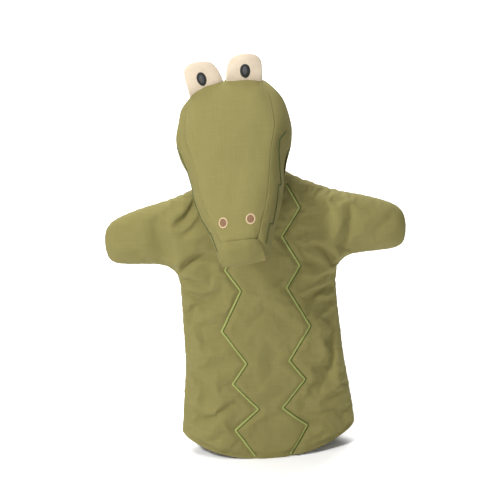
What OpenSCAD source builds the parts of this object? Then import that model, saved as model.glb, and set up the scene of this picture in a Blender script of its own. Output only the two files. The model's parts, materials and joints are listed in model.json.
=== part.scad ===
// Crocodile hand puppet with a moving mouth: sewn cloth panels, stuffing, stiff mouth boards.
// Millimetres. +Z is up, the face looks along -Y, and the origin is the lowest point of the hem.

/* [Body] */
// Width of the body at the hem corners
hem_w = 120; // [100:1:144]
// Depth of the open hem, front to back
hem_d = 52; // [44:1:64]
// Height of the hem corners above the lowest point of the hem
hem_rise = 14; // [8:1:20]
// Width of the body just under the arms
waist_w = 106; // [96:1:128]
// Depth of the chest, front to back
chest_d = 34; // [32:1:42]
// Height of the armpits
armpit_z = 138; // [115:1:168]
// Height of the neck edge above the armpits
yoke_h = 60; // [54:1:72]
// Width of the neck edge
neck_edge_w = 54; // [46:1:62]

/* [Arms] */
// Distance of each arm's swing axis from the middle
shoulder_x = 46; // [42:1:52]
// Radius of the rounded root of each arm
arm_root_r = 15.5; // [13:0.5:17]
// Length of each arm from its swing axis to its tip
arm_len = 60; // [48:1:72]
// Height of each arm at its root
arm_root_h = 49.5; // [40:0.5:52]
// Height of each arm near its tip
arm_tip_h = 33; // [26:1:37]

/* [Neck] */
// Outer radius of the neck tube
neck_r = 14; // [12:0.5:15]
// Height of the nodding axis above the neck edge
neck_rise = 36.5; // [34:0.5:46]
// Sideways place of the nodding axis, as the neck leans
neck_shift = -9; // [-10:0.5:10]

/* [Head] */
// Length of the head from its back seam to the lip
head_len = 132; // [118:1:157]
// Greatest width of the head
head_w = 75.5; // [68:0.5:94]
// Height of the upper half of the head at the cheeks
brow_h = 25; // [23:1:31]
// Height of the front of the snout
snout_h = 16; // [13:1:20]
// How far the lip stands in front of the snout's top seam
snout_slant = 7; // [4:1:9]
// Distance of the mouth's fold from the back seam
fold_a = 72; // [70:1:78]
// Greatest depth of the lower jaw
jaw_h = 14; // [11:1:15]
// How far the lower jaw stays behind the lip
jaw_setback = 6; // [4:1:9]

/* [Pose] */
// Droop of the snout below the horizontal
head_pitch = 47; // [40:1:48]
// Turn of the head, positive to its left
head_yaw = -7; // [-15:1:15]
// Sideways tilt of the head
head_roll = -7; // [-10:0.5:10]

/* [Eyes and nostrils] */
// Width of an eye flap
eye_w = 25; // [20:1:30]
// Height of an eye flap
eye_h = 16.5; // [13:0.5:25]
// Thickness of an eye flap
eye_t = 3; // [2:0.5:4]
// Width of a pupil
pupil_w = 7.4; // [5:0.1:8]
// Height of a pupil
pupil_h = 11; // [8:0.1:12]
// Distance between the middles of the nostrils
nostril_gap = 18.6; // [15:0.1:22]
// Outer radius of a nostril's stitched ring
nostril_r = 3.4; // [2.6:0.1:4]
// Width of the ring's stitching
nostril_band = 1.1; // [0.8:0.1:1.3]

/* [Cloth] */
// Thickness of the outer cloth
cloth = 1.2; // [0.8:0.1:1.6]
// Thickness of the wadding in the body
wadding = 2; // [1.5:0.1:2.5]
// Thickness of the lining and of the mouth's lining
lining = 0.8; // [0.6:0.1:1.2]
// Thickness of the stiff boards in the mouth
board = 1.6; // [1:0.1:2]
// Width of an embroidered line
thread_w = 1.3; // [0.9:0.1:1.8]
// Depth of the turned hem band
hem_band_h = 7; // [5:0.5:10]

/* [Hidden] */

gap = 0.3;             // clearance between pieces that lie against each other
swing_gap = 0.5;       // clearance round the parts that turn
far = 300;             // longer than any part
soft_p = 2.3;          // roundness of the body and the arms
head_p = 3;            // roundness of the head, boxier than the body
seam_t = 45;           // angle round the head of the seam beside the top panel
motif_x = 3;           // sideways shift of the front's embroidered lines
eye_shift = -3;        // sideways shift of the pair of eye flaps
eye_gap = 27.8;        // distance between the middles of the eye flaps
eye_lean = 45;         // lean of the eye flaps from the head's top
eye_splay = 7.5;       // outward tilt of each eye flap
pupil_out = 0.9;       // distance of each pupil from its flap's middle, outwards
pupil_shift = 0.2;    // sideways shift of both pupils
nod_range = 55;        // how far the head is raised from its rest

neck_edge_z = armpit_z + yoke_h;
pivot_a = 30;          // the nodding axis, from the back seam
pivot_n = -24;         // and below the head's top
pivot = [neck_shift, -2, neck_edge_z + neck_rise];
lip_n = -brow_h + 5;   // height of the lip in the head's frame
layer_w = cloth + gap; // inner face of the outer cloth, with clearance
layer_l = layer_w + wadding + gap;
snout_tilt = 4;        // slope of the top panel at the nostrils
nostril_a = head_len * 0.855;
jaw_end = head_len - jaw_setback;

function power(v, e) = sign(v) * pow(abs(v), e);
function ring_x(t, p) = power(cos(t), 2 / p);
function ring_y(t, p) = power(sin(t), 2 / p);
function span(a, b, n) = [for (i = [0:n]) a + (b - a) * i / n];

// ---- solids made from grids of points ----

// Two triangles for the cell between points a, b, c and d
function cell(a, b, c, d) = [[a, b, c], [a, c, d]];
function flat(list) = [for (part = list) for (item = part) item];

// A sheet of cloth between two grids of points that match, row by row
module sheet(outer, inner, closed = false) {
    rows = len(outer);
    cols = len(outer[0]);
    last = closed ? cols - 1 : cols - 2;
    size = rows * cols;
    function o(i, j) = i * cols + j % cols;
    function n(i, j) = size + o(i, j);
    faces = concat(
        flat([for (i = [0:rows - 2]) for (j = [0:last]) cell(o(i, j), o(i + 1, j), o(i + 1, j + 1), o(i, j + 1))]),
        flat([for (i = [0:rows - 2]) for (j = [0:last]) cell(n(i, j), n(i, j + 1), n(i + 1, j + 1), n(i + 1, j))]),
        flat([for (j = [0:last]) cell(o(0, j), o(0, j + 1), n(0, j + 1), n(0, j))]),
        flat([for (j = [0:last]) cell(o(rows - 1, j), n(rows - 1, j), n(rows - 1, j + 1), o(rows - 1, j + 1))]),
        closed ? [] : flat([for (i = [0:rows - 2]) cell(o(i, 0), n(i, 0), n(i + 1, 0), o(i + 1, 0))]),
        closed ? [] : flat([for (i = [0:rows - 2])
            cell(o(i, cols - 1), o(i + 1, cols - 1), n(i + 1, cols - 1), n(i, cols - 1))])
    );
    polyhedron(concat(flat(outer), flat(inner)), faces, convexity = 8);
}

// A solid through closed rings of points, with a flat end at each end
module loft(rings) {
    cols = len(rings[0]);
    rows = len(rings);
    function o(i, j) = i * cols + j % cols;
    faces = concat(
        flat([for (i = [0:rows - 2]) for (j = [0:cols - 1]) cell(o(i, j), o(i + 1, j), o(i + 1, j + 1), o(i, j + 1))]),
        [[for (j = [0:cols - 1]) o(0, j)]],
        [[for (j = [cols - 1:-1:0]) o(rows - 1, j)]]
    );
    polyhedron(flat(rings), faces, convexity = 8);
}

// ---- body ----

function body_w(z) = lookup(z, [
    [0, hem_w / 2], [hem_rise, hem_w / 2], [armpit_z * 0.43, (hem_w + waist_w) / 4 - 1],
    [armpit_z * 0.72, waist_w / 2 + 1], [armpit_z, waist_w / 2], [neck_edge_z - 17, waist_w / 2 - 3],
    [neck_edge_z - 9, neck_edge_w / 2 + 18], [neck_edge_z - 4, neck_edge_w / 2 + 9], [neck_edge_z, neck_edge_w / 2]
]);
function body_d(z) = lookup(z, [
    [0, hem_d / 2], [armpit_z * 0.43, hem_d / 2 - 3], [armpit_z, chest_d / 2 + 0.5], [neck_edge_z, chest_d / 2]
]);
function body_y(z) = lookup(z, [[0, 0], [armpit_z * 0.7, 0], [neck_edge_z, pivot[1]]]);
body_rows = [0, 0.22, 0.43, 0.62, 0.8, 1];
yoke_rows = [12, 28, neck_edge_z - armpit_z - 17, neck_edge_z - armpit_z - 9, neck_edge_z - armpit_z - 4];
body_zs = concat([for (f = body_rows) f * armpit_z], [for (h = yoke_rows) armpit_z + h], [neck_edge_z]);

// A point on the body's surface, inset inwards. The lowest row follows the curve of the hem.
function body_point(z, t, inset) =
    let (x = (body_w(z) - inset) * ring_x(t, soft_p))
    [x, body_y(z) + (body_d(z) - inset) * ring_y(t, soft_p), z == 0 ? hem_rise * pow(x / body_w(z), 2) : z];

// A layer of the body over the angles from t0 to t1, up to a height
module body_layer(t0, t1, inset, thick, top, steps = 14, closed = false) {
    zs = [for (z = body_zs) if (z <= top) z];
    ts = closed ? [for (i = [0:steps - 1]) t0 + (t1 - t0) * i / steps] : span(t0, t1, steps);
    sheet([for (z = zs) [for (t = ts) body_point(z, t, inset)]],
          [for (z = zs) [for (t = ts) body_point(z, t, inset + thick)]], closed);
}

module armholes() {
    for (side = [-1, 1])
        translate([side * shoulder_x, 0, armpit_z - 1])
            cylinder(r = arm_root_r + swing_gap, h = far, $fn = 64);
}

module body_front() {
    color("#9c9459") difference() {
        body_layer(180, 360, 0, cloth, neck_edge_z);
        armholes();
    }
}

module body_back() {
    color("#968e55") difference() {
        body_layer(0, 180, 0, cloth, neck_edge_z);
        armholes();
    }
}

// The wadding stops above the turned hem band and below the armholes
module wadding_panel(t0, t1) {
    zs = [for (z = body_zs) if (z > 0 && z <= armpit_z - 20) z];
    ts = span(t0, t1, 14);
    sheet([for (z = zs) [for (t = ts) body_point(z, t, layer_w)]],
          [for (z = zs) [for (t = ts) body_point(z, t, layer_w + wadding)]]);
}

module wadding_front() {
    color("ivory") wadding_panel(180, 360);
}

module wadding_back() {
    color("ivory") wadding_panel(0, 180);
}

// The lining is a tube that hangs inside the wadding, open below and above
module body_lining() {
    zs = [for (z = body_zs) if (z > 0 && z <= armpit_z - 20) z];
    ts = [for (i = [0:23]) 15 * i];
    color("#cfc69a")
        sheet([for (z = zs) [for (t = ts) body_point(z, t, layer_l)]],
              [for (z = zs) [for (t = ts) body_point(z, t, layer_l + lining)]], true);
}

// The cloth turned up inside the hem
module hem_band() {
    ts = [for (i = [0:27]) 360 * i / 28];
    // A point on the wall's inner face, between the hem's row and the next one
    function rim(t, lift, inset) =
        let (p = body_point(0, t, inset), q = body_point(body_zs[1], t, inset))
        p + (q - p) * lift / (q[2] - p[2]);
    color("#8f8750")
        sheet([for (lift = [0, hem_band_h]) [for (t = ts) rim(t, lift, layer_w + gap)]],
              [for (lift = [0, hem_band_h]) [for (t = ts) rim(t, lift, layer_w + gap + cloth)]], true);
}

// ---- embroidered lines ----

// The turning points of the front's line: share of the armpit's height, and distance from the middle
body_line = [
    [0.036, 13], [0.155, 26.5], [0.266, 8.5], [0.407, 25.5], [0.515, 15],
    [0.684, 31], [0.871, 16], [1.006, 26], [1.172, 14.5], [1.3, 27.5]
];

// The front surface's depth at a place on the body
function front_y(x, z) =
    body_y(z) - body_d(z) * pow(max(1 - pow(abs(x) / body_w(z), soft_p), 0), 1 / soft_p);

// A square thread along points, standing out along -Y
module body_thread(points) {
    half = thread_w / 2;
    function corner(i) =
        let (a = points[max(i - 1, 0)], b = points[min(i + 1, len(points) - 1)], d = b - a)
        [-d[1], d[0]] / norm(d);
    loft([for (i = [0:len(points) - 1])
        let (p = points[i], n = corner(i) * half, q = p + n, r = p - n,
             yq = front_y(q[0], q[1]) - gap / 2, yr = front_y(r[0], r[1]) - gap / 2)
        [[q[0], yq, q[1]], [r[0], yr, r[1]], [r[0], yr - 0.8, r[1]], [q[0], yq - 0.8, q[1]]]]);
}

module body_zigzag(side) {
    ends = [for (p = body_line) [motif_x + side * p[1], p[0] * armpit_z]];
    points = flat([for (i = [0:len(ends) - 2]) [for (k = [0:3]) ends[i] + (ends[i + 1] - ends[i]) * k / 4]]);
    color("#a9b870") body_thread(side > 0 ? points : [for (i = [len(points) - 1:-1:0]) points[i]]);
}

module body_zigzag_left() {
    body_zigzag(-1);
}

module body_zigzag_right() {
    body_zigzag(1);
}

// ---- neck ----

// The tube leans with the head's tilt, and the head turns about its axis
module neck_tube() {
    h = neck_rise + 8;
    color("#8f8750") translate(pivot) rotate([0, head_roll, 0]) translate([0, 0, -h]) difference() {
        cylinder(r = neck_r, h = h, $fn = 64);
        translate([0, 0, -1]) cylinder(r = neck_r - cloth, h = h + 2, $fn = 64);
    }
}

// ---- head: a is the distance from the back seam, n the height from the top ----

module head_frame() {
    translate(pivot) rotate([0, head_roll, 0]) rotate([head_pitch, 0, head_yaw]) children();
}

function at(x, a, n) = [x, pivot_a - a, n - pivot_n];
function half_w(a) = head_w / 2 * lookup(a / head_len, [
    [-0.075, 0.04], [-0.06, 0.3], [-0.03, 0.52], [0, 0.69], [0.12, 0.93], [0.28, 1], [0.45, 0.86], [0.7, 0.72],
    [0.88, 0.53], [0.95, 0.47], [1, 0.41]
]);
function mouth_n(a) = lookup(a, [[0, -brow_h], [fold_a, -brow_h], [head_len, lip_n]]);
function upper_h(a) = lookup(a / head_len, [
    [-0.075, 2], [-0.06, brow_h * 0.25], [-0.03, brow_h * 0.5], [0, brow_h * 0.74], [0.12, brow_h * 0.96], [0.3, brow_h],
    [0.55, brow_h * 0.96], [0.8, (brow_h + snout_h) / 2 - 1], [1, snout_h]
]);
function lower_h(a) = lookup(a, [
    [-9.2, 1.9], [-7.5, 3.5], [0, 9], [16, 15], [38, 16], [56, 12.5], [fold_a, 8]
]);

// Points over the upper half of the head. Towards the front, the upper points lean back by the slant.
function upper_point(a, t, inset) =
    let (h = ring_y(t, head_p), lean = snout_slant * pow(max(a / head_len, 0), 4) * h)
    at((half_w(a) - inset) * ring_x(t, head_p), a - lean, mouth_n(a) + (upper_h(a) - inset) * h);
function lower_point(a, t, inset) =
    at((half_w(a) - inset) * ring_x(t, head_p), a, mouth_n(a) + (lower_h(a) - inset) * ring_y(t, head_p));

head_as = [for (f = [0, 0.06, 0.12, 0.2, 0.28, 0.36, 0.45, 0.55, 0.7, 0.8, 0.88, 0.95, 1]) f * head_len];

module upper_panel(t0, t1, steps) {
    ts = span(t0, t1, steps);
    sheet([for (a = head_as) [for (t = ts) upper_point(a, t, 0)]],
          [for (a = head_as) [for (t = ts) upper_point(a, t, cloth)]]);
}

module head_top() {
    color("#a39b60") head_frame() upper_panel(seam_t, 180 - seam_t, 10);
}

module head_side_left() {
    color("#968e58") head_frame() upper_panel(180 - seam_t, 180, 5);
}

module head_side_right() {
    color("#968e58") head_frame() upper_panel(0, seam_t, 5);
}

// The front of the snout, a plate across the end of the top and side panels
module snout_front() {
    ts = span(0, 180, 16);
    function end(t, out) = upper_point(head_len, t, 0) + [0, -out, 0];
    color("#8f8752") head_frame()
        loft([[for (t = ts) end(t, gap)], [for (t = ts) end(t, gap + cloth)]]);
}

// The back of the head, a dome behind the back seam
module head_back() {
    as = [-0.075, -0.06, -0.045, -0.03, -0.015, -0.004];
    ts = span(0, 180, 16);
    color("#968e58") head_frame()
        sheet([for (f = as) [for (t = ts) upper_point(f * head_len, t, 0)]],
              [for (f = as) [for (t = ts) upper_point(f * head_len * 0.86, t, cloth)]]);
}

// The space that the neck tube sweeps as the head nods, as wide as the tube
module neck_sweep() {
    r = neck_r + swing_gap;
    rest = [-sin(head_pitch), -cos(head_pitch)];
    up = [sin(nod_range - head_pitch), -cos(nod_range - head_pitch)];
    mid = (rest + up) / norm(rest + up);
    reach = neck_rise + 24;
    rest_side = [-cos(head_pitch), sin(head_pitch)] * r;
    up_side = [cos(nod_range - head_pitch), sin(nod_range - head_pitch)] * r;
    rotate([90, 0, 90]) linear_extrude(2 * r, center = true) {
        circle(r = r, $fn = 48);
        polygon([rest_side, rest_side + rest * reach, mid * reach * 1.4, up_side + up * reach, up_side]);
    }
}

// The underside of the cheeks, behind the mouth, with the slot where the neck goes in
module head_throat() {
    as = [-9.2, -7.5, -4, 0, 8, 16, 27, 38, 47, 56, fold_a - 9, fold_a - 3];
    ts = span(180, 360, 18);
    color("#8f8752") head_frame() difference() {
        sheet([for (a = as) [for (t = ts) lower_point(a, t, gap)]],
              [for (a = as) [for (t = ts) lower_point(a, t, gap + cloth)]]);
        neck_sweep();
    }
}

// A flat piece along the mouth, between two heights above the mouth's line
module mouth_plate(a0, a1, low, high, margin, steps = 6) {
    loft([for (a = span(a0, a1, steps))
        let (w = half_w(a) - margin, n = mouth_n(a))
        [at(w, a, n + low), at(w, a, n + high), at(-w, a, n + high), at(-w, a, n + low)]]);
}

fold_r = 1.4;          // radius of the rolled fold at the back of the mouth
plate_a = fold_a + fold_r + swing_gap;

module palate_lining() {
    color("#b98a76") head_frame() mouth_plate(plate_a, head_len - 2, gap, gap + lining, layer_w);
}

module palate_board() {
    color("tan") head_frame()
        mouth_plate(plate_a + 2, head_len - 6, 2 * gap + lining, 2 * gap + lining + board, layer_w + 1.5);
}

palate_top = 3 * gap + lining + board;
pocket_h = 11;         // height of the finger pocket
pocket_w = 15;         // half its width
pocket_a = fold_a + 32; // its closed end

// A flattened sleeve from the neck's slot forward over the palate board
module sleeve(a0, a1, w, low, high, dir) {
    function loop(a, inset) =
        [for (t = [0:20:340]) at((w - inset) * ring_x(t, 3), a,
            mouth_n(a) + dir * (low + high) / 2 + ((high - low) / 2 - inset) * ring_y(t, 3))];
    stations = [a0, (a0 + a1) / 2, a1];
    sheet([for (a = stations) loop(a, 0)], [for (a = stations) loop(a, lining)], true);
}

module finger_pocket() {
    color("#cfc69a") head_frame()
        sleeve(fold_a - 4, pocket_a, pocket_w, palate_top, palate_top + pocket_h, 1);
}

// The angle at which a half of the head reaches a height above or below the mouth
function angle_at(height, full) = asin(pow(height / full, head_p / 2));

// The stuffing fills the upper half, apart from the neck's sweep and the pocket
module head_stuffing() {
    base = palate_top + gap;
    color("white") head_frame() difference() {
        loft([for (a = head_as) if (a > 0.05 * head_len && a < 0.97 * head_len)
            let (t0 = angle_at(base, upper_h(a) - layer_w))
            [for (t = span(t0, 180 - t0, 14)) upper_point(a, t, layer_w)]]);
        neck_sweep();
        translate([0, pivot_a - (fold_a + pocket_a) / 2 + 10, -brow_h - pivot_n + palate_top + pocket_h / 2 + 1.5])
            cube([2 * (pocket_w + gap), pocket_a - fold_a + 22, pocket_h + 5], center = true);
    }
}

// The cloth folded at the back of the mouth, rolled round the jaw's axis
module mouth_fold() {
    w = half_w(fold_a) - layer_w - 1;
    color("#a87862") head_frame() translate(at(0, fold_a, mouth_n(fold_a)))
        rotate([0, 90, 0]) cylinder(r = fold_r, h = 2 * w, center = true, $fn = 32);
}

// The line of teeth on each cheek: distance from the back seam, and angle round the head
mouth_line = [[0.335, 13], [0.37, 36], [0.6, 12], [0.62, 28], [0.83, 12], [0.85, 29], [0.965, 22]];

module mouth_zigzag(side) {
    steps = 4;
    ends = [for (p = mouth_line) [p[0] * head_len, p[1]]];
    places = concat(flat([for (i = [0:len(ends) - 2])
        [for (k = [0:steps - 1]) ends[i] + (ends[i + 1] - ends[i]) * k / steps]]), [ends[len(ends) - 1]]);
    function on(q, out) =
        let (p = upper_point(q[0], q[1], -out))
        [side * p[0], p[1], p[2]];
    function across(i) =
        let (d = places[min(i + 1, len(places) - 1)] - places[max(i - 1, 0)], m = norm([d[0], d[1] * 0.5]))
        [-d[1] * 0.5, d[0] * 2] / m * thread_w / 2;
    rings = [for (i = [0:len(places) - 1])
        let (q = places[i] + across(i), r = places[i] - across(i))
        [on(q, 0.5), on(r, 0.5), on(r, 1.25), on(q, 1.25)]];
    color("#a9b870") head_frame() loft(side > 0 ? rings : [for (r = rings) [for (k = [3:-1:0]) r[k]]]);
}

module mouth_zigzag_left() {
    mouth_zigzag(-1);
}

module mouth_zigzag_right() {
    mouth_zigzag(1);
}

// ---- eyes and nostrils ----

// Puts children on an eye flap: x across it, y up it, z out of its front
module eye_frame(side) {
    x = eye_shift + side * eye_gap / 2;
    seam_n = upper_h(0) * pow(1 - pow(abs(x) / half_w(0), head_p), 1 / head_p) - brow_h;
    translate(pivot) rotate([0, head_roll, 0]) rotate([head_pitch, 0, head_yaw])
        translate(at(x, -2, seam_n)) rotate([eye_lean, 0, 0]) rotate([0, 0, -side * eye_splay]) children();
}

// The flap's foot follows the head's outer surface at the back seam
module eye_flap(side) {
    r = eye_w / 2;
    as = concat([-7, -4, -2], [for (a = head_as) if (a < 0.3 * head_len) a]);
    color("#eedfc8") difference() {
        eye_frame(side) linear_extrude(eye_t) {
            translate([0, eye_h - r]) circle(r = r, $fn = 64);
            translate([-r, -10]) square([2 * r, eye_h - r + 10]);
        }
        head_frame() loft([for (a = as) [for (t = span(0, 180, 16)) upper_point(a, t, -gap)]]);
    }
}

module eye_left() {
    eye_flap(-1);
}

module eye_right() {
    eye_flap(1);
}

module pupil(side) {
    color("#4a4644") eye_frame(side) translate([side * pupil_out + pupil_shift, eye_h * 0.38, eye_t + gap / 3])
        linear_extrude(0.7) scale([pupil_w / pupil_h, 1]) circle(d = pupil_h, $fn = 40);
}

module pupil_left() {
    pupil(-1);
}

module pupil_right() {
    pupil(1);
}

// Puts children on both nostrils, standing out of the top panel
module nostril_places() {
    for (side = [-1, 1])
        head_frame()
            translate(at(side * nostril_gap / 2, nostril_a, mouth_n(nostril_a) + upper_h(nostril_a) + gap))
                rotate([snout_tilt, 0, 0]) children();
}

module nostril_rings() {
    color("#ead9b8") nostril_places() difference() {
        cylinder(r = nostril_r, h = 0.8, $fn = 48);
        translate([0, 0, -1]) cylinder(r = nostril_r - nostril_band, h = 3, $fn = 48);
    }
}

module nostril_fills() {
    color("#ab8465") nostril_places() cylinder(r = nostril_r - nostril_band - 0.05, h = 0.5, $fn = 48);
}

// ---- lower jaw ----

jaw_narrow = 0.88;     // the lower jaw's share of the upper jaw's width

function jaw_w(a) = half_w(a) * jaw_narrow * lookup(a / jaw_end, [[0, 1], [0.96, 1], [0.985, 0.85], [1, 0.5]]);
function jaw_depth(a) = lookup(a, [
    [fold_a, 7], [fold_a + 8, jaw_h * 0.7], [fold_a + 20, jaw_h], [jaw_end - 14, jaw_h],
    [jaw_end - 6, jaw_h * 0.82], [jaw_end - 3, jaw_h * 0.62], [jaw_end, jaw_h * 0.35]
]);
function jaw_point(a, t, inset) =
    at((jaw_w(a) - inset) * ring_x(t, head_p), a, mouth_n(a) - gap + (jaw_depth(a) - inset) * ring_y(t, head_p));
jaw_as = concat([plate_a, fold_a + 8, fold_a + 14], span(fold_a + 20, jaw_end - 14, 2),
    [jaw_end - 6, jaw_end - 3, jaw_end]);

module jaw_cover() {
    ts = span(180, 360, 16);
    color("#8f8752") head_frame()
        sheet([for (a = jaw_as) [for (t = ts) jaw_point(a, t, 0)]],
              [for (a = jaw_as) [for (t = ts) jaw_point(min(a, jaw_end - cloth), t, cloth)]]);
}

// A flat piece along the lower jaw, below the mouth's line
module jaw_plate(a0, a1, low, high, margin) {
    loft([for (a = span(a0, a1, 6))
        let (w = jaw_w(a) - margin, n = mouth_n(a))
        [at(w, a, n - high), at(w, a, n - low), at(-w, a, n - low), at(-w, a, n - high)]]);
}

module jaw_lining() {
    color("#b98a76") head_frame() jaw_plate(plate_a, jaw_end - 3, gap, gap + lining, layer_w);
}

module jaw_board() {
    color("tan") head_frame()
        jaw_plate(plate_a + 2, jaw_end - 8, 2 * gap + lining, 2 * gap + lining + board, layer_w + 1);
}

thumb_w = 9.5;         // half the width of the thumb's pocket
thumb_h = jaw_h * 0.56; // its height
thumb_a = jaw_end - 15; // its closed end
jaw_base = palate_top; // the jaw's lining and board, with clearance

module thumb_pocket() {
    color("#cfc69a") head_frame()
        sleeve(fold_a + 18, thumb_a, thumb_w, -jaw_base - thumb_h, -jaw_base, 1);
}

module jaw_stuffing() {
    color("white") head_frame() difference() {
        loft([for (a = jaw_as) if (a > fold_a + 7 && a < jaw_end - 4)
            let (t0 = angle_at(jaw_base, jaw_depth(a) - layer_w))
            [for (t = span(180 + t0, 360 - t0, 14)) jaw_point(a, t, layer_w)]]);
        loft([for (a = [fold_a - 11, fold_a, thumb_a + 1])
            let (n = mouth_n(a), w = thumb_w + gap, low = n - jaw_base - thumb_h - gap)
            [at(w, a, low), at(w, a, n + 2), at(-w, a, n + 2), at(-w, a, low)]]);
    }
}

// ---- arms ----

arm_tip_x = shoulder_x + arm_len;
function arm_half_d(x) = x < shoulder_x
    ? sqrt(max(pow(arm_root_r, 2) - pow(shoulder_x - x, 2), 0))
    : arm_root_r * lookup((x - shoulder_x) / arm_len, [
        [0, 1], [0.25, 0.96], [0.58, 0.87], [0.82, 0.75], [0.94, 0.55], [0.98, 0.35], [1, 0.12]
    ]);
arm_low_z = armpit_z + 0.5;
function arm_bottom(x) = arm_low_z + lookup((x - shoulder_x) / arm_len, [
    [0, 0], [0.25, 1.5], [0.58, 3.5], [0.82, 5], [0.94, 7.5], [0.98, 10], [1, 13]
]);
function arm_top(x) = arm_low_z + lookup((x - shoulder_x) / arm_len, [
    [0, arm_root_h], [0.25, arm_root_h * 0.9 + arm_tip_h * 0.1], [0.58, (arm_root_h + arm_tip_h) / 2 + 2],
    [0.82, arm_tip_h + 4], [0.94, arm_tip_h - 1], [0.98, arm_tip_h - 5], [1, arm_tip_h - 9]
]);
arm_xs = concat([for (k = [0.97, 0.85, 0.6, 0.3]) shoulder_x - arm_root_r * k],
    [for (f = [0, 0.25, 0.58, 0.82, 0.94, 0.98, 1]) shoulder_x + f * arm_len]);

function arm_point(side, x, t, inset) =
    let (low = arm_bottom(x), high = arm_top(x), h = (high - low) / 2)
    [side * (x - (x > arm_tip_x - 0.1 ? inset * 0.6 : 0)),
     max(arm_half_d(x) - inset, 0.3) * ring_x(t, soft_p),
     (low + high) / 2 + (h - inset) * ring_y(t, soft_p)];

module arm_cover(side, t0, t1) {
    ts = side > 0 ? span(t0, t1, 12) : span(t1, t0, 12);
    color("#9c9459")
        sheet([for (x = arm_xs) [for (t = ts) arm_point(side, x, t, 0)]],
              [for (x = arm_xs) [for (t = ts) arm_point(side, x, t, cloth)]]);
}

module arm_stuffing(side) {
    ts = [for (i = [0:23]) side * 15 * i];
    color("white")
        loft([for (x = arm_xs) if (x > shoulder_x - arm_root_r * 0.9 && x < arm_tip_x - 3)
            [for (t = ts) arm_point(side, x, t, layer_w)]]);
}

module arm_left_front() {
    arm_cover(-1, 90, 270);
}

module arm_left_back() {
    arm_cover(-1, -90, 90);
}

module arm_left_stuffing() {
    arm_stuffing(-1);
}

module arm_right_front() {
    arm_cover(1, 90, 270);
}

module arm_right_back() {
    arm_cover(1, -90, 90);
}

module arm_right_stuffing() {
    arm_stuffing(1);
}

body_front();
body_back();
wadding_front();
wadding_back();
body_lining();
hem_band();
body_zigzag_left();
body_zigzag_right();
neck_tube();
head_top();
head_side_left();
head_side_right();
snout_front();
head_back();
head_throat();
head_stuffing();
palate_lining();
palate_board();
finger_pocket();
mouth_fold();
mouth_zigzag_left();
mouth_zigzag_right();
eye_left();
eye_right();
pupil_left();
pupil_right();
nostril_rings();
nostril_fills();
jaw_cover();
jaw_stuffing();
jaw_lining();
jaw_board();
thumb_pocket();
arm_left_front();
arm_left_back();
arm_left_stuffing();
arm_right_front();
arm_right_back();
arm_right_stuffing();
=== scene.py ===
"""Looks of the crocodile hand puppet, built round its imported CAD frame. +Z up, the face towards -Y.

Shapes are worked out in millimetres and become metres in new_mesh. Each piece's cloth coordinates are
shifted to a place of their own, so that no two pieces show the same yarns.
"""
import json
import math

import bmesh
import bpy
import numpy as np
from mathutils import Matrix, Vector
from mathutils.bvhtree import BVHTree
from mathutils.geometry import delaunay_2d_cdt


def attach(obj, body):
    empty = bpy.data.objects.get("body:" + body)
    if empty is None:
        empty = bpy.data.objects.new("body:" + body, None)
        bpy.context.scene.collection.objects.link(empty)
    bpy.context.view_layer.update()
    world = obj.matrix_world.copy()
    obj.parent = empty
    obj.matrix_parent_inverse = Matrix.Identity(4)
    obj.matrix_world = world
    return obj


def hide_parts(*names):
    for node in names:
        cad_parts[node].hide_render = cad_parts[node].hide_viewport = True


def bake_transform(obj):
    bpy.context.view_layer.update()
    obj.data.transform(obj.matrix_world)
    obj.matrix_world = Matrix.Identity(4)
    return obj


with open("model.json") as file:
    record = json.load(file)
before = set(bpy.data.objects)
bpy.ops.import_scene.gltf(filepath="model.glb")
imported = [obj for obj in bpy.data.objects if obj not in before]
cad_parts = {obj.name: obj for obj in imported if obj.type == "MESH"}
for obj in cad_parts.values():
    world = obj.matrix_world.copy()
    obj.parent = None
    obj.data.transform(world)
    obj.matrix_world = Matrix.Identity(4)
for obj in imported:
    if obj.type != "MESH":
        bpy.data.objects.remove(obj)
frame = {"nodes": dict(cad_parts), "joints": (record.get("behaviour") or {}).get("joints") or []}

MM = 0.001
JOINTS = {j["name"]: j for j in frame["joints"]}
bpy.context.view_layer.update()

# ---- sizes, in millimetres and degrees unless they say otherwise ----

# The head: its tilt, its size, the nodding axis and the mouth's fold in its own frame, and its snout's lip
PIVOT = np.array(JOINTS["head_nod"]["pos_m"]) / MM
HEAD_PITCH, HEAD_YAW, HEAD_ROLL = 47.0, -7.0, -7.0
HEAD_LEN, HEAD_W, BROW = 132.0, 75.5, 25.0
PIVOT_A, PIVOT_N = 30.0, -24.0
FOLD_A = 72.0
LIP_N = -BROW + 5
SLANT = 9.5

# The neck: where the body ends, the tube's radius and ends, and its oval hole in the head
NECK_TOP, NECK_HALF = 203.0, 24.0
NECK_R, NECK_LOW, NECK_HIGH = 14.6, -27.0, 2.0
HOLE_R, HOLE_A = (15.8, 23.5), 37.0

# The body: its hem, its triangles' size, and how far its middle leans forward at the shoulders
HEM_HALF, HEM_RISE = 60.0, 14.0
PATTERN_STEP = 2.2
CLOTH_DROP = 2.0
SPLIT_X = 38.0
ARM_BLEND, ARM_Z = (36.0, 60.0), 160.0
STITCH, STITCH_PITCH, STITCH_UP = 1.9, 2.9, 2.9
SIDES = ((-1, "left"), (1, "right"))

# Half of the body and one arm, from the hem corner round to the neck
SILHOUETTE = [
    (60, 14), (59, 29), (57.5, 42), (56, 55), (55, 67), (55, 80), (55, 105), (55, 126), (56.5, 134),
    (61, 139.5), (70, 142), (86, 142.5), (98, 143.5), (103, 146.5), (105.2, 152), (106, 161),
    (104.5, 169), (100, 174.5), (93, 178), (80, 182.5), (68, 185.5), (58, 188), (46, 192.5), (36, 197),
    (29, 200.5), (24, 203.5),
]
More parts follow.
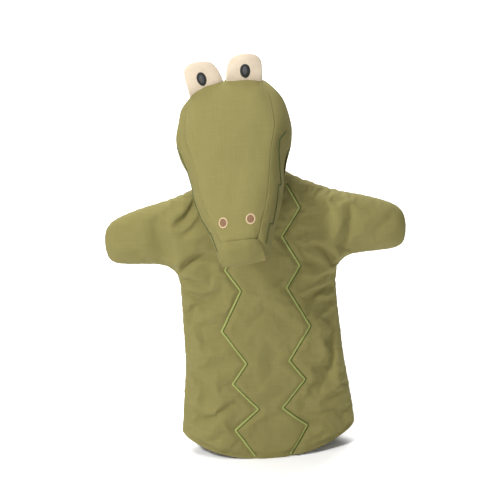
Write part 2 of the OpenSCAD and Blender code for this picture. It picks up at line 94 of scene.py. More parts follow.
# The right line of the chest's embroidery, from the hem up, and where the middle between both lies
BODY_LINE = [
    (12.5, 1.5), (25.5, 21.4), (8.5, 36.7), (25.5, 56.2), (15, 71), (31, 94.4), (16, 124), (26, 139.5),
    (14.5, 161.7), (27.8, 181), (19.5, 197),
]
LINE_X = 3.4


# ---- numbers ----


def merged(*parts):
    """Arrays of numbers as one array of points."""
    return np.stack(np.broadcast_arrays(*parts), -1)


def unit(v):
    return v / np.linalg.norm(v, axis=-1, keepdims=True)


def bell(x, width):
    """1 at 0, falling off on both sides."""
    return np.exp(-((x / width) ** 2))


def smooth(x, lo, hi):
    """0 up to lo, 1 from hi on, and eased between them."""
    t = np.clip((np.asarray(x, float) - lo) / (hi - lo), 0, 1)
    return t * t * (3 - 2 * t)


def curve(table):
    """A smooth function through a table of points, flat beyond its ends."""
    xs, ys = np.array(table, float).T
    step = np.diff(ys) / np.diff(xs)
    same = step[:-1] * step[1:] > 0
    inner = np.where(same, 2 * step[:-1] * step[1:] / np.where(same, step[:-1] + step[1:], 1), 0)
    slopes = np.concatenate([step[:1], inner, step[-1:]])

    def at(x):
        x = np.clip(np.asarray(x, float), xs[0], xs[-1])
        i = np.clip(np.searchsorted(xs, x) - 1, 0, len(xs) - 2)
        h = xs[i + 1] - xs[i]
        t = (x - xs[i]) / h
        return (
            ys[i] * (1 + 2 * t) * (1 - t) ** 2
            + ys[i + 1] * t * t * (3 - 2 * t)
            + h * t * (1 - t) * (slopes[i] * (1 - t) - slopes[i + 1] * t)
        )

    return at


def arc_length(path):
    """Length along a path at each of its points."""
    return np.concatenate([[0], np.cumsum(np.linalg.norm(np.diff(path, axis=0), axis=1))])


def closed(loop):
    """A loop with its first point again at its end."""
    return np.concatenate([loop, loop[:1]])


def resample(points, step):
    """Points at an even step along a polyline, with both ends kept."""
    p = np.array(points, float)
    s = arc_length(p)
    at = np.linspace(0, s[-1], max(2, int(round(s[-1] / step)) + 1))
    return np.stack([np.interp(at, s, p[:, k]) for k in range(p.shape[1])], 1)


def rounded(points, rounds=2):
    """A polyline with its corners cut smooth, ends kept."""
    p = np.array(points, float)
    for _ in range(rounds):
        q = 0.75 * p[:-1] + 0.25 * p[1:]
        r = 0.25 * p[:-1] + 0.75 * p[1:]
        p = np.concatenate([p[:1], np.stack([q, r], 1).reshape(-1, p.shape[1]), p[-1:]])
    return p


def surface(*objs):
    """A search tree over the objects' faces, in millimetres."""
    points, faces = [], []
    for obj in objs:
        start = len(points)
        points += [v.co / MM for v in obj.data.vertices]
        faces += [tuple(start + i for i in poly.vertices) for poly in obj.data.polygons]
    return BVHTree.FromPolygons(points, faces)


def settle(tree, points, normal, lift, reach=7.0):
    """Points moved along their normals onto the surface, then off it by lift."""
    out = []
    for p, n, up in zip(points, normal, np.broadcast_to(np.asarray(lift, float), (len(points),))):
        hit = tree.ray_cast(Vector(p + n * reach), Vector(-n), 2 * reach)[0]
        out.append((np.array(hit) if hit else p) + n * up)
    return np.array(out)


def waves(p, seed, scale, count=24):
    """Smooth seeded noise of about unit height at points p, with features about as wide as scale."""
    rng = np.random.default_rng(seed)
    k = rng.normal(size=(count, p.shape[-1])) * 2.2 / scale
    phase = rng.uniform(0, 2 * math.pi, count)
    return np.sin(p @ k.T + phase).sum(-1) * math.sqrt(2 / count)


def to_line(p, line):
    """Distance from each 2-D point to a polyline."""
    best = np.full(len(p), 1e9)
    for a, b in zip(line[:-1], line[1:]):
        d = b - a
        t = np.clip(((p - a) @ d) / (d @ d), 0, 1)
        best = np.minimum(best, np.linalg.norm(p - (a + t[:, None] * d), axis=1))
    return best


def turned(p, axis, degrees):
    return np.asarray(p, float) @ np.array(Matrix.Rotation(math.radians(degrees), 3, axis)).T


def cheek(x, a):
    """Widths across the head, with the left cheek stuffed fuller than the right."""
    return np.where(x < 0, x * (1 + 0.085 * smooth(a, -4, 16) * (1 - smooth(a, 80, 114))), x)


def head_place(own):
    """Points of the head's own frame, x, a back-to-front and n up, in the row frame."""
    x, a, n = np.moveaxis(np.asarray(own, float), -1, 0)
    return head_turn(merged(cheek(x, a), PIVOT_A - a, n - PIVOT_N)) + PIVOT


def head_turn(v):
    """Directions of the head's own frame in the row frame."""
    return turned(turned(turned(v, "X", HEAD_PITCH), "Z", HEAD_YAW), "Y", HEAD_ROLL)


# ---- meshes ----


def new_mesh(name, points, faces, uv=None, material=None):
    """A mesh object from points in millimetres. uv is one pair per point, in millimetres on the cloth."""
    mesh = bpy.data.meshes.new(name)
    corners = [tuple(c) for c in np.asarray(points, float) * MM]
    mesh.from_pydata(corners, [], [tuple(int(i) for i in f) for f in faces])
    mesh.validate()
    if uv is not None:
        layer = mesh.uv_layers.new(name="cloth")
        index = np.zeros(len(mesh.loops), np.int32)
        mesh.loops.foreach_get("vertex_index", index)
        layer.data.foreach_set("uv", (np.asarray(uv, float)[index] * MM).astype(np.float32).ravel())
    mesh.polygons.foreach_set("use_smooth", [True] * len(mesh.polygons))
    if material:
        mesh.materials.append(material)
    obj = bpy.data.objects.new(name, mesh)
    bpy.context.scene.collection.objects.link(obj)
    return obj


def grid_faces(rows, cols, round_it=False, flip=False):
    """Quads over a grid of points. round_it joins its last column to its first."""
    faces = []
    for i in range(rows - 1):
        for j in range(cols if round_it else cols - 1):
            a, b = i * cols + j, i * cols + (j + 1) % cols
            c, d = a + cols, b + cols
            faces.append((a, c, d, b) if flip else (a, b, d, c))
    return faces


def grid_piece(name, points, uv, material, round_it=False, flip=False, thick=0.0):
    """A sheet from a grid of points, rows by columns, with a thickness added inwards."""
    faces = grid_faces(*points.shape[:2], round_it, flip)
    obj = new_mesh(name, points.reshape(-1, 3), faces, uv.reshape(-1, 2), material)
    if thick:
        solid = obj.modifiers.new("thickness", "SOLIDIFY")
        solid.thickness = thick * MM
        solid.offset = -1
    return obj


def dress(obj, body, slot, *nodes, fill=None):
    """Attaches a piece to what it rides on and hides the CAD nodes it replaces. slot and fill are not used.
    """
    if body:
        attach(obj, body)
    if nodes:
        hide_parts(*nodes)
    return obj


def tube(name, path, radius, material, outward, sides=8, flat=1.0):
    """A thread along a path. flat squeezes it towards the surface, whose outward directions are given."""
    p = np.asarray(path, float)
    along = unit(np.gradient(p, axis=0))
    up = unit(outward - (outward * along).sum(1)[:, None] * along)
    side = np.cross(along, up)
    t = np.linspace(0, 2 * math.pi, sides, endpoint=False)[:, None]
    ring = p[:, None] + radius * (np.cos(t) * side[:, None] + flat * np.sin(t) * up[:, None])
    uv = merged(arc_length(p)[:, None], t[:, 0])
    faces = grid_faces(len(p), sides, round_it=True, flip=True)
    last = (len(p) - 1) * sides
    faces += [tuple(range(sides)), tuple(last + k for k in range(sides - 1, -1, -1))]
    return new_mesh(name, ring.reshape(-1, 3), faces, uv.reshape(-1, 2), material)


def joined(name, objs):
    """One object made of several."""
    mesh = bpy.data.meshes.new(name)
    bm = bmesh.new()
    for o in objs:
        bm.from_mesh(o.data)
    bm.to_mesh(mesh)
    bm.free()
    for m in objs[0].data.materials:
        mesh.materials.append(m)
    out = bpy.data.objects.new(name, mesh)
    bpy.context.scene.collection.objects.link(out)
    for o in objs:
        bpy.data.objects.remove(o)
    return out


# ---- materials ----


class Graph:
    """A short way to wire a material's nodes."""

    def __init__(self, name):
        self.material = bpy.data.materials.new(name)
        self.material.use_nodes = True
        self.tree = self.material.node_tree
        self.shader = self.tree.nodes["Principled BSDF"]

    def put(self, socket, value):
        if isinstance(value, bpy.types.NodeSocket):
            self.tree.links.new(value, socket)
        else:
            socket.default_value = value

    def node(self, kind, inputs, **settings):
        """The outputs of a new node, whose inputs are given by name or number."""
        n = self.tree.nodes.new("ShaderNode" + kind)
        for key, value in settings.items():
            setattr(n, key, value)
        for key, value in inputs.items():
            self.put(n.inputs[key], value)
        return n.outputs

    def math(self, op, *values):
        return self.node("Math", dict(enumerate(values)), operation=op)[0]

    def noise(self, vector, scale, detail=2.0, rough=0.5):
        inputs = {"Vector": vector, "Scale": scale, "Detail": detail, "Roughness": rough}
        return self.node("TexNoise", inputs)["Fac"]

    def scaled(self, vector, x, y):
        return self.node("Mapping", {"Vector": vector, "Scale": (x, y, 1)})[0]

    def mix(self, fac, a, b):
        return self.node("Mix", {"Factor": fac, "A": a, "B": b}, data_type="RGBA")["Result"]

    def bump(self, height, strength, distance):
        inputs = {"Height": height, "Strength": strength, "Distance": distance}
        self.put(self.shader.inputs["Normal"], self.node("Bump", inputs)[0])

    def surface(self, color, rough, specular=0.5, **more):
        values = {"Base Color": color, "Roughness": rough, "Specular IOR Level": specular, **more}
        for key, value in values.items():
            self.put(self.shader.inputs[key], value)

    def uv(self):
        return self.node("UVMap", {}, uv_map="cloth")[0]

    def place(self):
        return self.node("TexCoord", {})["Object"]

    def parts(self, vector):
        return self.node("SeparateXYZ", {0: vector})


def woven(name, color, dark, light, thread=0.00055, slub=0.4):
    """Plain-woven cloth: warp and weft in relief, thick and thin yarns, uneven dye."""
    g = Graph(name)
    uv = g.uv()
    u, v, _ = g.parts(uv)
    pitch = math.pi / thread
    shift = g.math("MULTIPLY", g.noise(g.scaled(uv, 900, 900), 1.0, 1.0), 1.4)
    warp = g.math("SINE", g.math("ADD", g.math("MULTIPLY", u, pitch), shift))
    weft = g.math("SINE", g.math("ADD", g.math("MULTIPLY", v, pitch), shift))
    weave = g.math("MULTIPLY", warp, weft)
    yarn_u = g.noise(g.scaled(uv, 1500, 60), 1.0, 2.0)
    yarn_v = g.noise(g.scaled(uv, 60, 1500), 1.0, 2.0)
    yarns = g.math("ADD", yarn_u, yarn_v)
    fine = g.math("MULTIPLY_ADD", g.math("SUBTRACT", yarns, 1.0), 2.2 * slub, 0.5)
    tone = g.mix(g.math("MINIMUM", g.math("MAXIMUM", fine, 0.0), 1.0), dark + (1,), light + (1,))
    tone = g.mix(g.math("MULTIPLY", g.math("SUBTRACT", weave, -1.0), 0.10), tone, color + (1,))
    dye = g.math("MULTIPLY", g.noise(g.place(), 28.0, 3.0), 0.35)
    sheen = {"Sheen Weight": 0.06, "Sheen Tint": light + (1,), "Sheen Roughness": 0.5}
    g.surface(g.mix(dye, tone, color + (1,)), 0.9, 0.25, **sheen)
    g.bump(g.math("MULTIPLY_ADD", yarns, 0.8, g.math("MULTIPLY", weave, 0.5)), 0.35, 0.00025)
    return g.material


def satin(name, color, dark, count=0.00045):
    """Embroidery thread laid side by side across the line."""
    g = Graph(name)
    u = g.parts(g.uv())[0]
    jitter = g.noise(g.scaled(g.uv(), 700, 700), 1.0, 1.0)
    phase = g.math("ADD", g.math("MULTIPLY", u, 2 * math.pi / count), g.math("MULTIPLY", jitter, 2.5))
    strand = g.math("MULTIPLY_ADD", g.math("SINE", phase), 0.5, 0.5)
    g.surface(g.mix(strand, dark + (1,), color + (1,)), 0.6, 0.2)
    g.bump(strand, 0.5, 0.0002)
    return g.material


def felted(name, color, scale):
    """Cloth or felt without cloth coordinates: its grain follows the object's place."""
    g = Graph(name)
    grain = g.noise(g.place(), scale, 4.0, 0.7)
    dark = tuple(c * 0.8 for c in color) + (1,)
    light = tuple(min(1, c * 1.2) for c in color) + (1,)
    g.surface(g.mix(grain, dark, light), 0.9)
    g.bump(grain, 0.4, 0.0002)
    return g.material


OLIVE = woven("olive_linen", (0.19, 0.168, 0.056), (0.163, 0.142, 0.046), (0.217, 0.193, 0.068))
# A slightly darker copy of the olive linen for the head's sides, back, snout front, throat and jaw, and for
# the neck, nape and turned hem: painted shade.
OLIVE_SHADED = woven("olive_linen_shaded", (0.182, 0.16, 0.053), (0.156, 0.136, 0.043), (0.209, 0.185, 0.064))
CREAM = woven("cream_cotton", (0.56, 0.47, 0.355), (0.52, 0.43, 0.32), (0.6, 0.51, 0.4), 0.00045, 0.6)
LINING = woven("lining_cotton", (0.6, 0.54, 0.34), (0.52, 0.46, 0.28), (0.68, 0.62, 0.42), thread=0.0005)
MOUTH = woven("mouth_cotton", (0.42, 0.22, 0.15), (0.36, 0.17, 0.11), (0.5, 0.28, 0.2), thread=0.0005)
GREEN_THREAD = satin("green_thread", (0.46, 0.5, 0.17), (0.2, 0.25, 0.06))
# A near-black green thread whose darkness is painted shade. On the cheeks it draws the stitched mouth lines
# as their shaded groove; on the chest it is the lines' painted shadow.
SHADE_THREAD = satin("shade_thread", (0.075, 0.1, 0.02), (0.03, 0.045, 0.008))
GREY_THREAD = satin("grey_thread", (0.03, 0.03, 0.031), (0.013, 0.013, 0.014))
GREY_CENTRE = satin("grey_centre", (0.095, 0.095, 0.1), (0.045, 0.045, 0.048))
CREAM_THREAD = satin("cream_thread", (0.62, 0.49, 0.31), (0.42, 0.3, 0.17))
BROWN_THREAD = satin("brown_thread", (0.25, 0.145, 0.082), (0.16, 0.085, 0.045))
SEAM_THREAD = satin("seam_thread", (0.3, 0.27, 0.1), (0.16, 0.14, 0.05), count=0.0006)
BOARD = felted("board_felt", (0.5, 0.4, 0.27), 900)
FOLD_CLOTH = felted("fold_cloth", (0.42, 0.22, 0.15), 1500)


# ---- body and arms: one inflated pattern, cut at the shoulders ----


def hem_line(x):
    """The hem's height, which rises towards its corners."""
    return HEM_RISE * np.abs(np.asarray(x, float) / HEM_HALF) ** 2.2


def between(end, step):
    """Even places from -end to end, without both ends."""
    return np.linspace(-end, end, int(2 * end / step) + 1)[1:-1]


def outline_loop(step):
    """The half outline mirrored into a loop. kind is 1 at the hem, 2 at the neck, 0 at the sides."""
    side = resample(rounded(SILHOUETTE), step)
    hem_x = between(HEM_HALF, step)
    neck_x = -between(NECK_HALF, step)
    hem = np.stack([hem_x, hem_line(hem_x)], 1)
    neck = np.stack([neck_x, np.full(len(neck_x), NECK_TOP + 0.5)], 1)
    loop = np.concatenate([hem, side, neck, side[::-1] * [-1, 1]])
    kind = np.repeat([1, 0, 2, 0], [len(hem), len(side), len(neck), len(side)])
    return loop, kind


def inside(p, loop):
    """Even-odd test of 2-D points in a closed loop."""
    a, b = loop, np.roll(loop, -1, 0)
    hit = np.zeros(len(p), int)
    for (x0, y0), (x1, y1) in zip(a, b):
        if y0 == y1:
            continue
        crosses = (y0 > p[:, 1]) != (y1 > p[:, 1])
        hit += crosses & (p[:, 0] < (x1 - x0) * (p[:, 1] - y0) / (y1 - y0) + x0)
    return hit % 2 == 1


def body_lines():
    """The front's two embroidered lines in the pattern's plane."""
    return [np.array([(LINE_X + s * x, z) for x, z in BODY_LINE], float) for s in (-1, 1)]


def line_distance(p):
    left, right = body_lines()
    return np.minimum(to_line(p, left), to_line(p, right))


def hex_points(low, high, step):
    """An even triangular grid of 2-D points between two corners."""
    x, y = np.meshgrid(np.arange(low[0], high[0], step), np.arange(low[1], high[1], step * 0.866))
    x = x + (np.arange(len(x)) % 2)[:, None] * step / 2
    return np.stack([x.ravel(), y.ravel()], 1)


def loop_normals(loop):
    """Inward directions of a closed anticlockwise loop."""
    along = np.roll(loop, -1, 0) - np.roll(loop, 1, 0)
    return unit(np.stack([-along[:, 1], along[:, 0]], 1))


def triangulated(loop, within, tolerance):
    """Triangles over a closed loop and the points within it, and each point's place in the loop, or -1."""
    points = [Vector(p) for p in np.concatenate([loop, within])]
    edges = [(i, (i + 1) % len(loop)) for i in range(len(loop))]
    out = delaunay_2d_cdt(points, edges, [], 1, tolerance)
    verts = np.array([tuple(v) for v in out[0]])
    tris = np.array([f for f in out[2] if len(f) == 3])
    source = np.array([next((k for k in orig if k < len(loop)), -1) for orig in out[3]])
    return verts, tris if triangle_up(verts, tris[0]) else tris[:, ::-1], source


def triangle_up(verts, t):
    a, b, c = verts[t[0]], verts[t[1]], verts[t[2]]
    return (b - a)[0] * (c - a)[1] - (b - a)[1] * (c - a)[0] > 0


def sewn_sheets(count, tris, fixed):
    """Faces of a front sheet and its back sheet, which share their fixed points, and the points in use."""
    number = np.arange(count) + count
    number[fixed] = np.arange(count)[fixed]
    faces = np.concatenate([tris, number[tris[:, ::-1]]])
    used, renumbered = np.unique(faces, return_inverse=True)
    return renumbered.reshape(faces.shape), used


def pattern():
    """Triangulates the body-and-arms pattern, finer at its edge and along the embroidered lines."""
    loop, kind = outline_loop(PATTERN_STEP)
    base = hex_points((-110, -2), (110, 210), PATTERN_STEP)
    base = base[inside(base, loop) & (to_line(base, closed(loop)) > 1.9)]
    base = base[line_distance(base) > 2.6]
    finer = []
    for line in body_lines():
        dense = resample(line, 1.3)
        d = np.gradient(dense, axis=0)
        across = unit(np.stack([-d[:, 1], d[:, 0]], 1))
        finer += [dense + across * off for off in (-1.9, -0.9, 0, 0.9, 1.9)]
    finer += [(loop + loop_normals(loop) * off)[kind == 0] for off in (0.35, 1.0)]
    finer = np.concatenate(finer)
    finer = finer[inside(finer, loop) & (to_line(finer, closed(loop)) > 0.25)]
    verts, tris, source = triangulated(loop, np.concatenate([base, finer]), 0.12)
    return verts, tris, (source >= 0) & (kind[source] == 0)


def inflate(verts, tris, fixed, swell):
    """Height of a stuffed pattern: a membrane pressed up by swell, held at its fixed points."""
    a, b, c = (verts[tris[:, k]] for k in range(3))

    def cot(p, q, r):
        u, v = q - p, r - p
        cross = u[:, 0] * v[:, 1] - u[:, 1] * v[:, 0]
        return (u * v).sum(1) / np.maximum(np.abs(cross), 1e-6)

    i = np.concatenate([tris[:, 1], tris[:, 2], tris[:, 0]])
    j = np.concatenate([tris[:, 2], tris[:, 0], tris[:, 1]])
    w = 0.5 * np.clip(np.concatenate([cot(a, b, c), cot(b, c, a), cot(c, a, b)]), 0.01, 20)
    area = 0.5 * np.abs((b - a)[:, 0] * (c - a)[:, 1] - (b - a)[:, 1] * (c - a)[:, 0])
    n = len(verts)
    load = sum(np.bincount(tris[:, k], area / 3, n) for k in range(3)) * swell
    free = ~fixed

    def apply(u):
        d = w * (u[i] - u[j])
        return (np.bincount(i, d, n) - np.bincount(j, d, n)) * free

    u = np.zeros(n)
    r = load * free
    p = r.copy()
    rr = r @ r
    for _ in range(1500):
        ap = apply(p)
        alpha = rr / (p @ ap)
        u += alpha * p
        r -= alpha * ap
        new = r @ r
        if new < 1e-14 * (load @ load):
            break
        p = r + p * (new / rr)
        rr = new
    return np.maximum(u, 0)


def open_hem(p, u):
    """The membrane's height, with the sheets meeting at a flat angle near the open hem."""
    row = np.arange(0, 210, 5.0)
    middle = np.abs(p[:, 0]) < 55
    top = [u[middle & (np.abs(p[:, 1] - z) < 6)].max(initial=1.0) for z in row]
    full = np.maximum(np.interp(p[:, 1], row, top), u)
    power = 0.5 + 0.36 * (1 - smooth(p[:, 1], 4, 80)) * (np.abs(p[:, 0]) < 66)
    return np.sqrt(full) * (u / full) ** power


def body_swell(p):
    """How hard each part of the pattern is stuffed."""
    torso = np.interp(p[:, 1], [0, 60, 120, 170, 205], [0.40, 0.33, 0.2, 0.2, 0.32])
    arm = smooth(np.abs(p[:, 0]), 34, 66)
    return torso * (1 - arm) + arm


def crease(p, ends, width, depth, bow=0.0):
    """A fold pressed along a line between two points, fading at its ends."""
    a, b = (np.array(e, float) for e in ends)
    d = b - a
    length = np.linalg.norm(d)
    along = ((p - a) @ d) / length**2
    n = np.array([-d[1], d[0]]) / length
    across = (p - a) @ n - bow * length * 4 * along * (1 - along)
    fade = smooth(along, -0.05, 0.3) * (1 - smooth(along, 0.7, 1.05))
    valley = bell(across, width)
    ridge = 0.55 * bell(np.abs(across) - 2.1 * width, 1.2 * width)
    return depth * fade * (ridge - valley)


# Each fold's two ends, width, depth and bow
BODY_CREASES = [
    (((-36, 193), (-56, 172)), 2.4, 3.0, 0.06),
    (((-30, 184), (-50, 163)), 3.4, 1.2, -0.05),
    (((-55, 139), (-35, 154)), 2.6, 2.3, 0.05),
    (((-56, 134), (-36, 127)), 2.6, 1.6, 0.08),
    (((-55, 125), (-42, 116)), 2.4, 0.9, 0.08),
    (((56, 139), (38, 156)), 2.8, 2.3, -0.05),
    (((56, 132), (38, 126)), 2.4, 1.7, -0.08),
    (((55, 124), (38, 114)), 2.4, 1.4, -0.08),
    (((55, 114), (40, 101)), 2.6, 1.2, -0.08),
    (((50, 112), (34, 40)), 4.5, 1.9, 0.06),
    (((53, 96), (44, 58)), 3.6, 1.1, -0.05),
    (((-48, 66), (-40, 34)), 4.5, 1.5, 0.06),
    (((-54, 98), (-46, 70)), 4.0, 0.8, -0.06),
    (((66, 184), (60, 150)), 4.5, 1.1, 0.08),
    (((-67, 183), (-60, 150)), 4.5, 1.2, -0.08),
    (((98, 172), (80, 160)), 3.6, 0.6, 0.05),
    (((-99, 166), (-82, 160)), 3.6, 0.6, 0.05),
    (((-20, 60), (-2, 52)), 6.0, 0.8, 0.1),
    (((2, 110), (18, 98)), 6.0, 0.6, 0.1),
]


def front_relief(p, edge, line):
    """How far the front's surface stands out, given the distances to the sides and the embroidery."""
    out = 0.55 * waves(p, 3, 34) + 0.22 * waves(p, 4, 13)
    for fold in BODY_CREASES:
        out = out + crease(p, *fold)
    pucker = waves(p, 9, 4.6) * bell(edge, 5.5) * 0.3
    quilt = -1.5 * bell(line, 2.2) + 0.16 * waves(p, 12, 4.2) * bell(line, 6)
    hem = -0.45 * bell(p[:, 1] - hem_line(p[:, 0]) - STITCH_UP, 0.8)
    return (out + pucker) * smooth(edge, 0.0, 9.0) + quilt + hem * smooth(HEM_HALF - np.abs(p[:, 0]), 0, 8)


def back_relief(p, edge):
    """How far the back's surface stands out: its own lumps, and some of the front's folds, mirrored."""
    out = (0.7 * waves(p, 21, 36) + 0.3 * waves(p, 22, 14)) * smooth(edge, 0, 9)
    for ends, *fold in BODY_CREASES[::3]:
        out = out + crease(p, tuple((-x, z) for x, z in ends), *fold) * smooth(edge, 0, 9)
    return out


def side_distance(p):
    """Distance to the pattern's sewn sides."""
    loop, kind = outline_loop(PATTERN_STEP)
    side = loop[kind == 0]
    half = len(side) // 2
    return np.minimum(to_line(p, side[:half]), to_line(p, side[half:]))


def cloth_middle(z):
    """Where the middle of the body lies, front to back: a little forward at the shoulders."""
    return -CLOTH_DROP * smooth(z, 120, 200)


def body_widths(verts, edge):
    """The pattern's widths, drawn in at the side seams and let out towards the hem."""
    groove = bell(edge, 0.55) * 0.55
    x = verts[:, 0] * (1 - groove / np.maximum(np.linalg.norm(verts - [0, 120], axis=1), 1))
    z = verts[:, 1]
    return x + np.where(x > 0, 3.7 * smooth(125 - z, 0, 75), 1.4 * smooth(28 - z, 0, 26)) * x / 58


def build_body_mesh():
    """Points, faces and cloth coordinates of the closed cover: two sheets sewn along the sides."""
    verts, tris, fixed = pattern()
    height = open_hem(verts, inflate(verts, tris, fixed, body_swell(verts)))
    line, edge = line_distance(verts), side_distance(verts)
    x, z = body_widths(verts, edge), verts[:, 1]
    middle = cloth_middle(z)
    front = np.stack([x, middle - height - front_relief(verts, edge, line), z], 1)
    back = np.stack([x, middle + height + back_relief(verts, edge), z], 1)
    faces, used = sewn_sheets(len(verts), tris, fixed)
    ends = np.minimum(z - hem_line(verts[:, 0]), NECK_TOP + 0.5 - z)
    sewn = np.maximum(1 - smooth(edge, 0.2, 2.5), 1 - smooth(ends, 1.5, 4))
    stitched = np.maximum(sewn, 0.97 * (1 - smooth(line, 1.0, 3.0)))
    points = np.concatenate([front, back])[used]
    hold = np.concatenate([stitched, sewn])[used]
    return simulated(points, faces, hold), faces, np.concatenate([verts, verts + [300, 0]])[used]


def simulated(points, faces, hold, stretch=-0.07, pressure=3.0, cap=4.0):
    """The cover after Cloth has pressed it out and let its slack buckle. hold is 1 where it is sewn."""
    obj = new_mesh("simulating", points, faces)
    group = obj.vertex_groups.new(name="sewn")
    for i, w in enumerate(hold):
        if w > 0:
            group.add([i], float(w), "REPLACE")
    cloth = obj.modifiers.new("cloth", "CLOTH").settings
    cloth.quality = 5
    cloth.mass = 0.15
    cloth.tension_stiffness = cloth.compression_stiffness = 12
    cloth.shear_stiffness = 4
    cloth.bending_stiffness = 0.08
    cloth.vertex_group_mass = "sewn"
    cloth.shrink_min = stretch
    cloth.use_pressure = True
    cloth.uniform_pressure_force = pressure
    cloth.effector_weights.gravity = 0
    scene = bpy.context.scene
    for frame_number in range(1, 21):
        scene.frame_set(frame_number)
    done = obj.evaluated_get(bpy.context.evaluated_depsgraph_get()).to_mesh()
    moved = np.array([v.co for v in done.vertices]) / MM - points
    obj.to_mesh_clear()
    bpy.data.objects.remove(obj)
    scene.frame_set(1)
    aside = np.abs(points[:, :1] - LINE_X)
    moved *= 0.4 + 0.8 * smooth(aside, 20, 36) - 0.85 * smooth(aside, 56, 72)
    size = np.maximum(np.linalg.norm(moved, axis=1), 1e-6)
    return points + moved * (cap * np.tanh(size / cap) / size)[:, None]


def refined(points, faces, uv):
    """The same surface, subdivided once, with its normals."""
    obj = new_mesh("refining", points, faces, uv)
    modifier = obj.modifiers.new("smooth", "SUBSURF")
    modifier.levels = modifier.render_levels = 1
    modifier.uv_smooth = "NONE"
    bpy.context.view_layer.update()
    done = obj.evaluated_get(bpy.context.evaluated_depsgraph_get()).to_mesh()
    p = np.array([v.co for v in done.vertices]) / MM
    n = np.array([v.normal for v in done.vertices])
    f = [tuple(poly.vertices) for poly in done.polygons]
    loop_uv = np.zeros(len(done.loops) * 2, np.float32)
    done.uv_layers[0].data.foreach_get("uv", loop_uv)
    loops = np.zeros(len(done.loops), np.int32)
    done.loops.foreach_get("vertex_index", loops)
    out_uv = np.zeros((len(p), 2))
    out_uv[loops] = loop_uv.reshape(-1, 2) / MM
    obj.to_mesh_clear()
    bpy.data.objects.remove(obj)
    return p, f, out_uv, n


def cut_piece(name, p, f, uv, n, keep, material):
    """The faces chosen by keep, as an object with the whole surface's normals."""
    chosen = [face for face, k in zip(f, keep) if k]
    used = sorted({i for face in chosen for i in face})
    number = {v: k for k, v in enumerate(used)}
    obj = new_mesh(name, p[used], [tuple(number[i] for i in face) for face in chosen], uv[used], material)
    obj.data.normals_split_custom_set_from_vertices([tuple(v) for v in n[used]])
    return obj


def build_body():
    """The cover of the torso and the arms. Returns its points and faces."""
    p, f, uv, n = refined(*build_body_mesh())
    x = np.array([p[list(face)].mean(0)[0] for face in f])
    torso = np.abs(x) < SPLIT_X
    body = cut_piece("body_cover", p, f, uv, n, torso, OLIVE)
    dress(body, "torso", "olive_cloth", "body_front", "body_back", "wadding_front", "wadding_back", fill=0.3)
    for side, tag in SIDES:
        arm = cut_piece(f"arm_{tag}_cover", p, f, uv, n, ~torso & (x * side > 0), OLIVE)
        nodes = [f"arm_{tag}_{part}" for part in ("front", "back", "stuffing")]
        dress(arm, None, "olive_cloth", *nodes, fill=0.8)
        near, far = ((side * reach * MM, 0, ARM_Z * MM) for reach in ARM_BLEND)
        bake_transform(arm)
        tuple(near)
        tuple(far)
    return p, f


# ---- head ----

# Shares of the head's length against shares of its half width and of its height, then depth below the cheeks
half_share = curve([
    (-0.078, 0), (-0.073, 0.12), (-0.06, 0.31), (-0.03, 0.52), (0, 0.69), (0.12, 0.93), (0.28, 1),
    (0.45, 0.86), (0.7, 0.715), (0.88, 0.53), (0.95, 0.47), (1, 0.41),
])
rise_share = curve([
    (-0.078, 0), (-0.073, 0.12), (-0.06, 0.26), (-0.03, 0.5), (0, 0.74), (0.12, 0.96), (0.3, 1),
    (0.55, 0.96), (0.8, 0.78), (1, 0.64),
])
lower_h = curve([(-10.3, 0), (-9.6, 1.4), (-7.5, 3.5), (0, 9), (16, 15), (38, 16), (56, 12.5), (72, 8)])
HEAD_BACK = -0.0779 * HEAD_LEN
THROAT_FRONT = FOLD_A - 4
HEAD_P = 3.0
SEAM_T = 45.0
NOSTRIL_A = 0.855 * HEAD_LEN


def half_w(a):
    return HEAD_W / 2 * half_share(np.asarray(a, float) / HEAD_LEN)


def upper_h(a):
    return BROW * rise_share(np.asarray(a, float) / HEAD_LEN)


def mouth_n(a):
    return np.interp(a, [0, FOLD_A, HEAD_LEN], [-BROW, -BROW, LIP_N])


def ring_x(t):
    c = np.cos(np.radians(t))
    return np.sign(c) * np.abs(c) ** (2 / HEAD_P)


def ring_y(t):
    s = np.sin(np.radians(t))
    return np.sign(s) * np.abs(s) ** (2 / HEAD_P)


def upper_point(a, t):
    """The upper half's surface, in the head's frame. t goes from the right lip over to the left lip."""
    a, t = np.broadcast_arrays(np.asarray(a, float), np.asarray(t, float))
    h = ring_y(t)
    lean = (SLANT + 5 * np.abs(ring_x(t)) ** 3) * np.maximum(a / HEAD_LEN, 0) ** 4 * h
    return np.stack([half_w(a) * ring_x(t), a - lean, mouth_n(a) + upper_h(a) * h], -1)


def flip_a(v):
    """Directions between (x, a, n) and the head frame's axes, where a runs against y."""
    return v * np.array([1.0, -1.0, 1.0])


def upper_normal(a, t, step=0.4, turn=1.2):
    """The upper half's outward directions, from its slopes along and across the head."""
    a, t = np.asarray(a), np.asarray(t)
    along = flip_a(upper_point(a + step, t) - upper_point(a - step, t))
    across = flip_a(upper_point(a, np.clip(t + turn, 0, 180)) - upper_point(a, np.clip(t - turn, 0, 180)))
    n = np.cross(along, across)
    n /= np.maximum(np.linalg.norm(n, axis=-1), 1e-9)[..., None]
    out = flip_a(upper_point(a, t) - merged(0.0, a, mouth_n(a) + 6))
    return np.where(((n * out).sum(-1) < 0)[..., None], -n, n)


def on_head(a, t, lift):
    """Points in the row frame that stand off the upper half by lift, with their outward directions."""
    n = upper_normal(a, t)
    p = flip_a(upper_point(a, t)) + np.asarray(lift)[..., None] * n
    return head_place(flip_a(p)), head_turn(n)


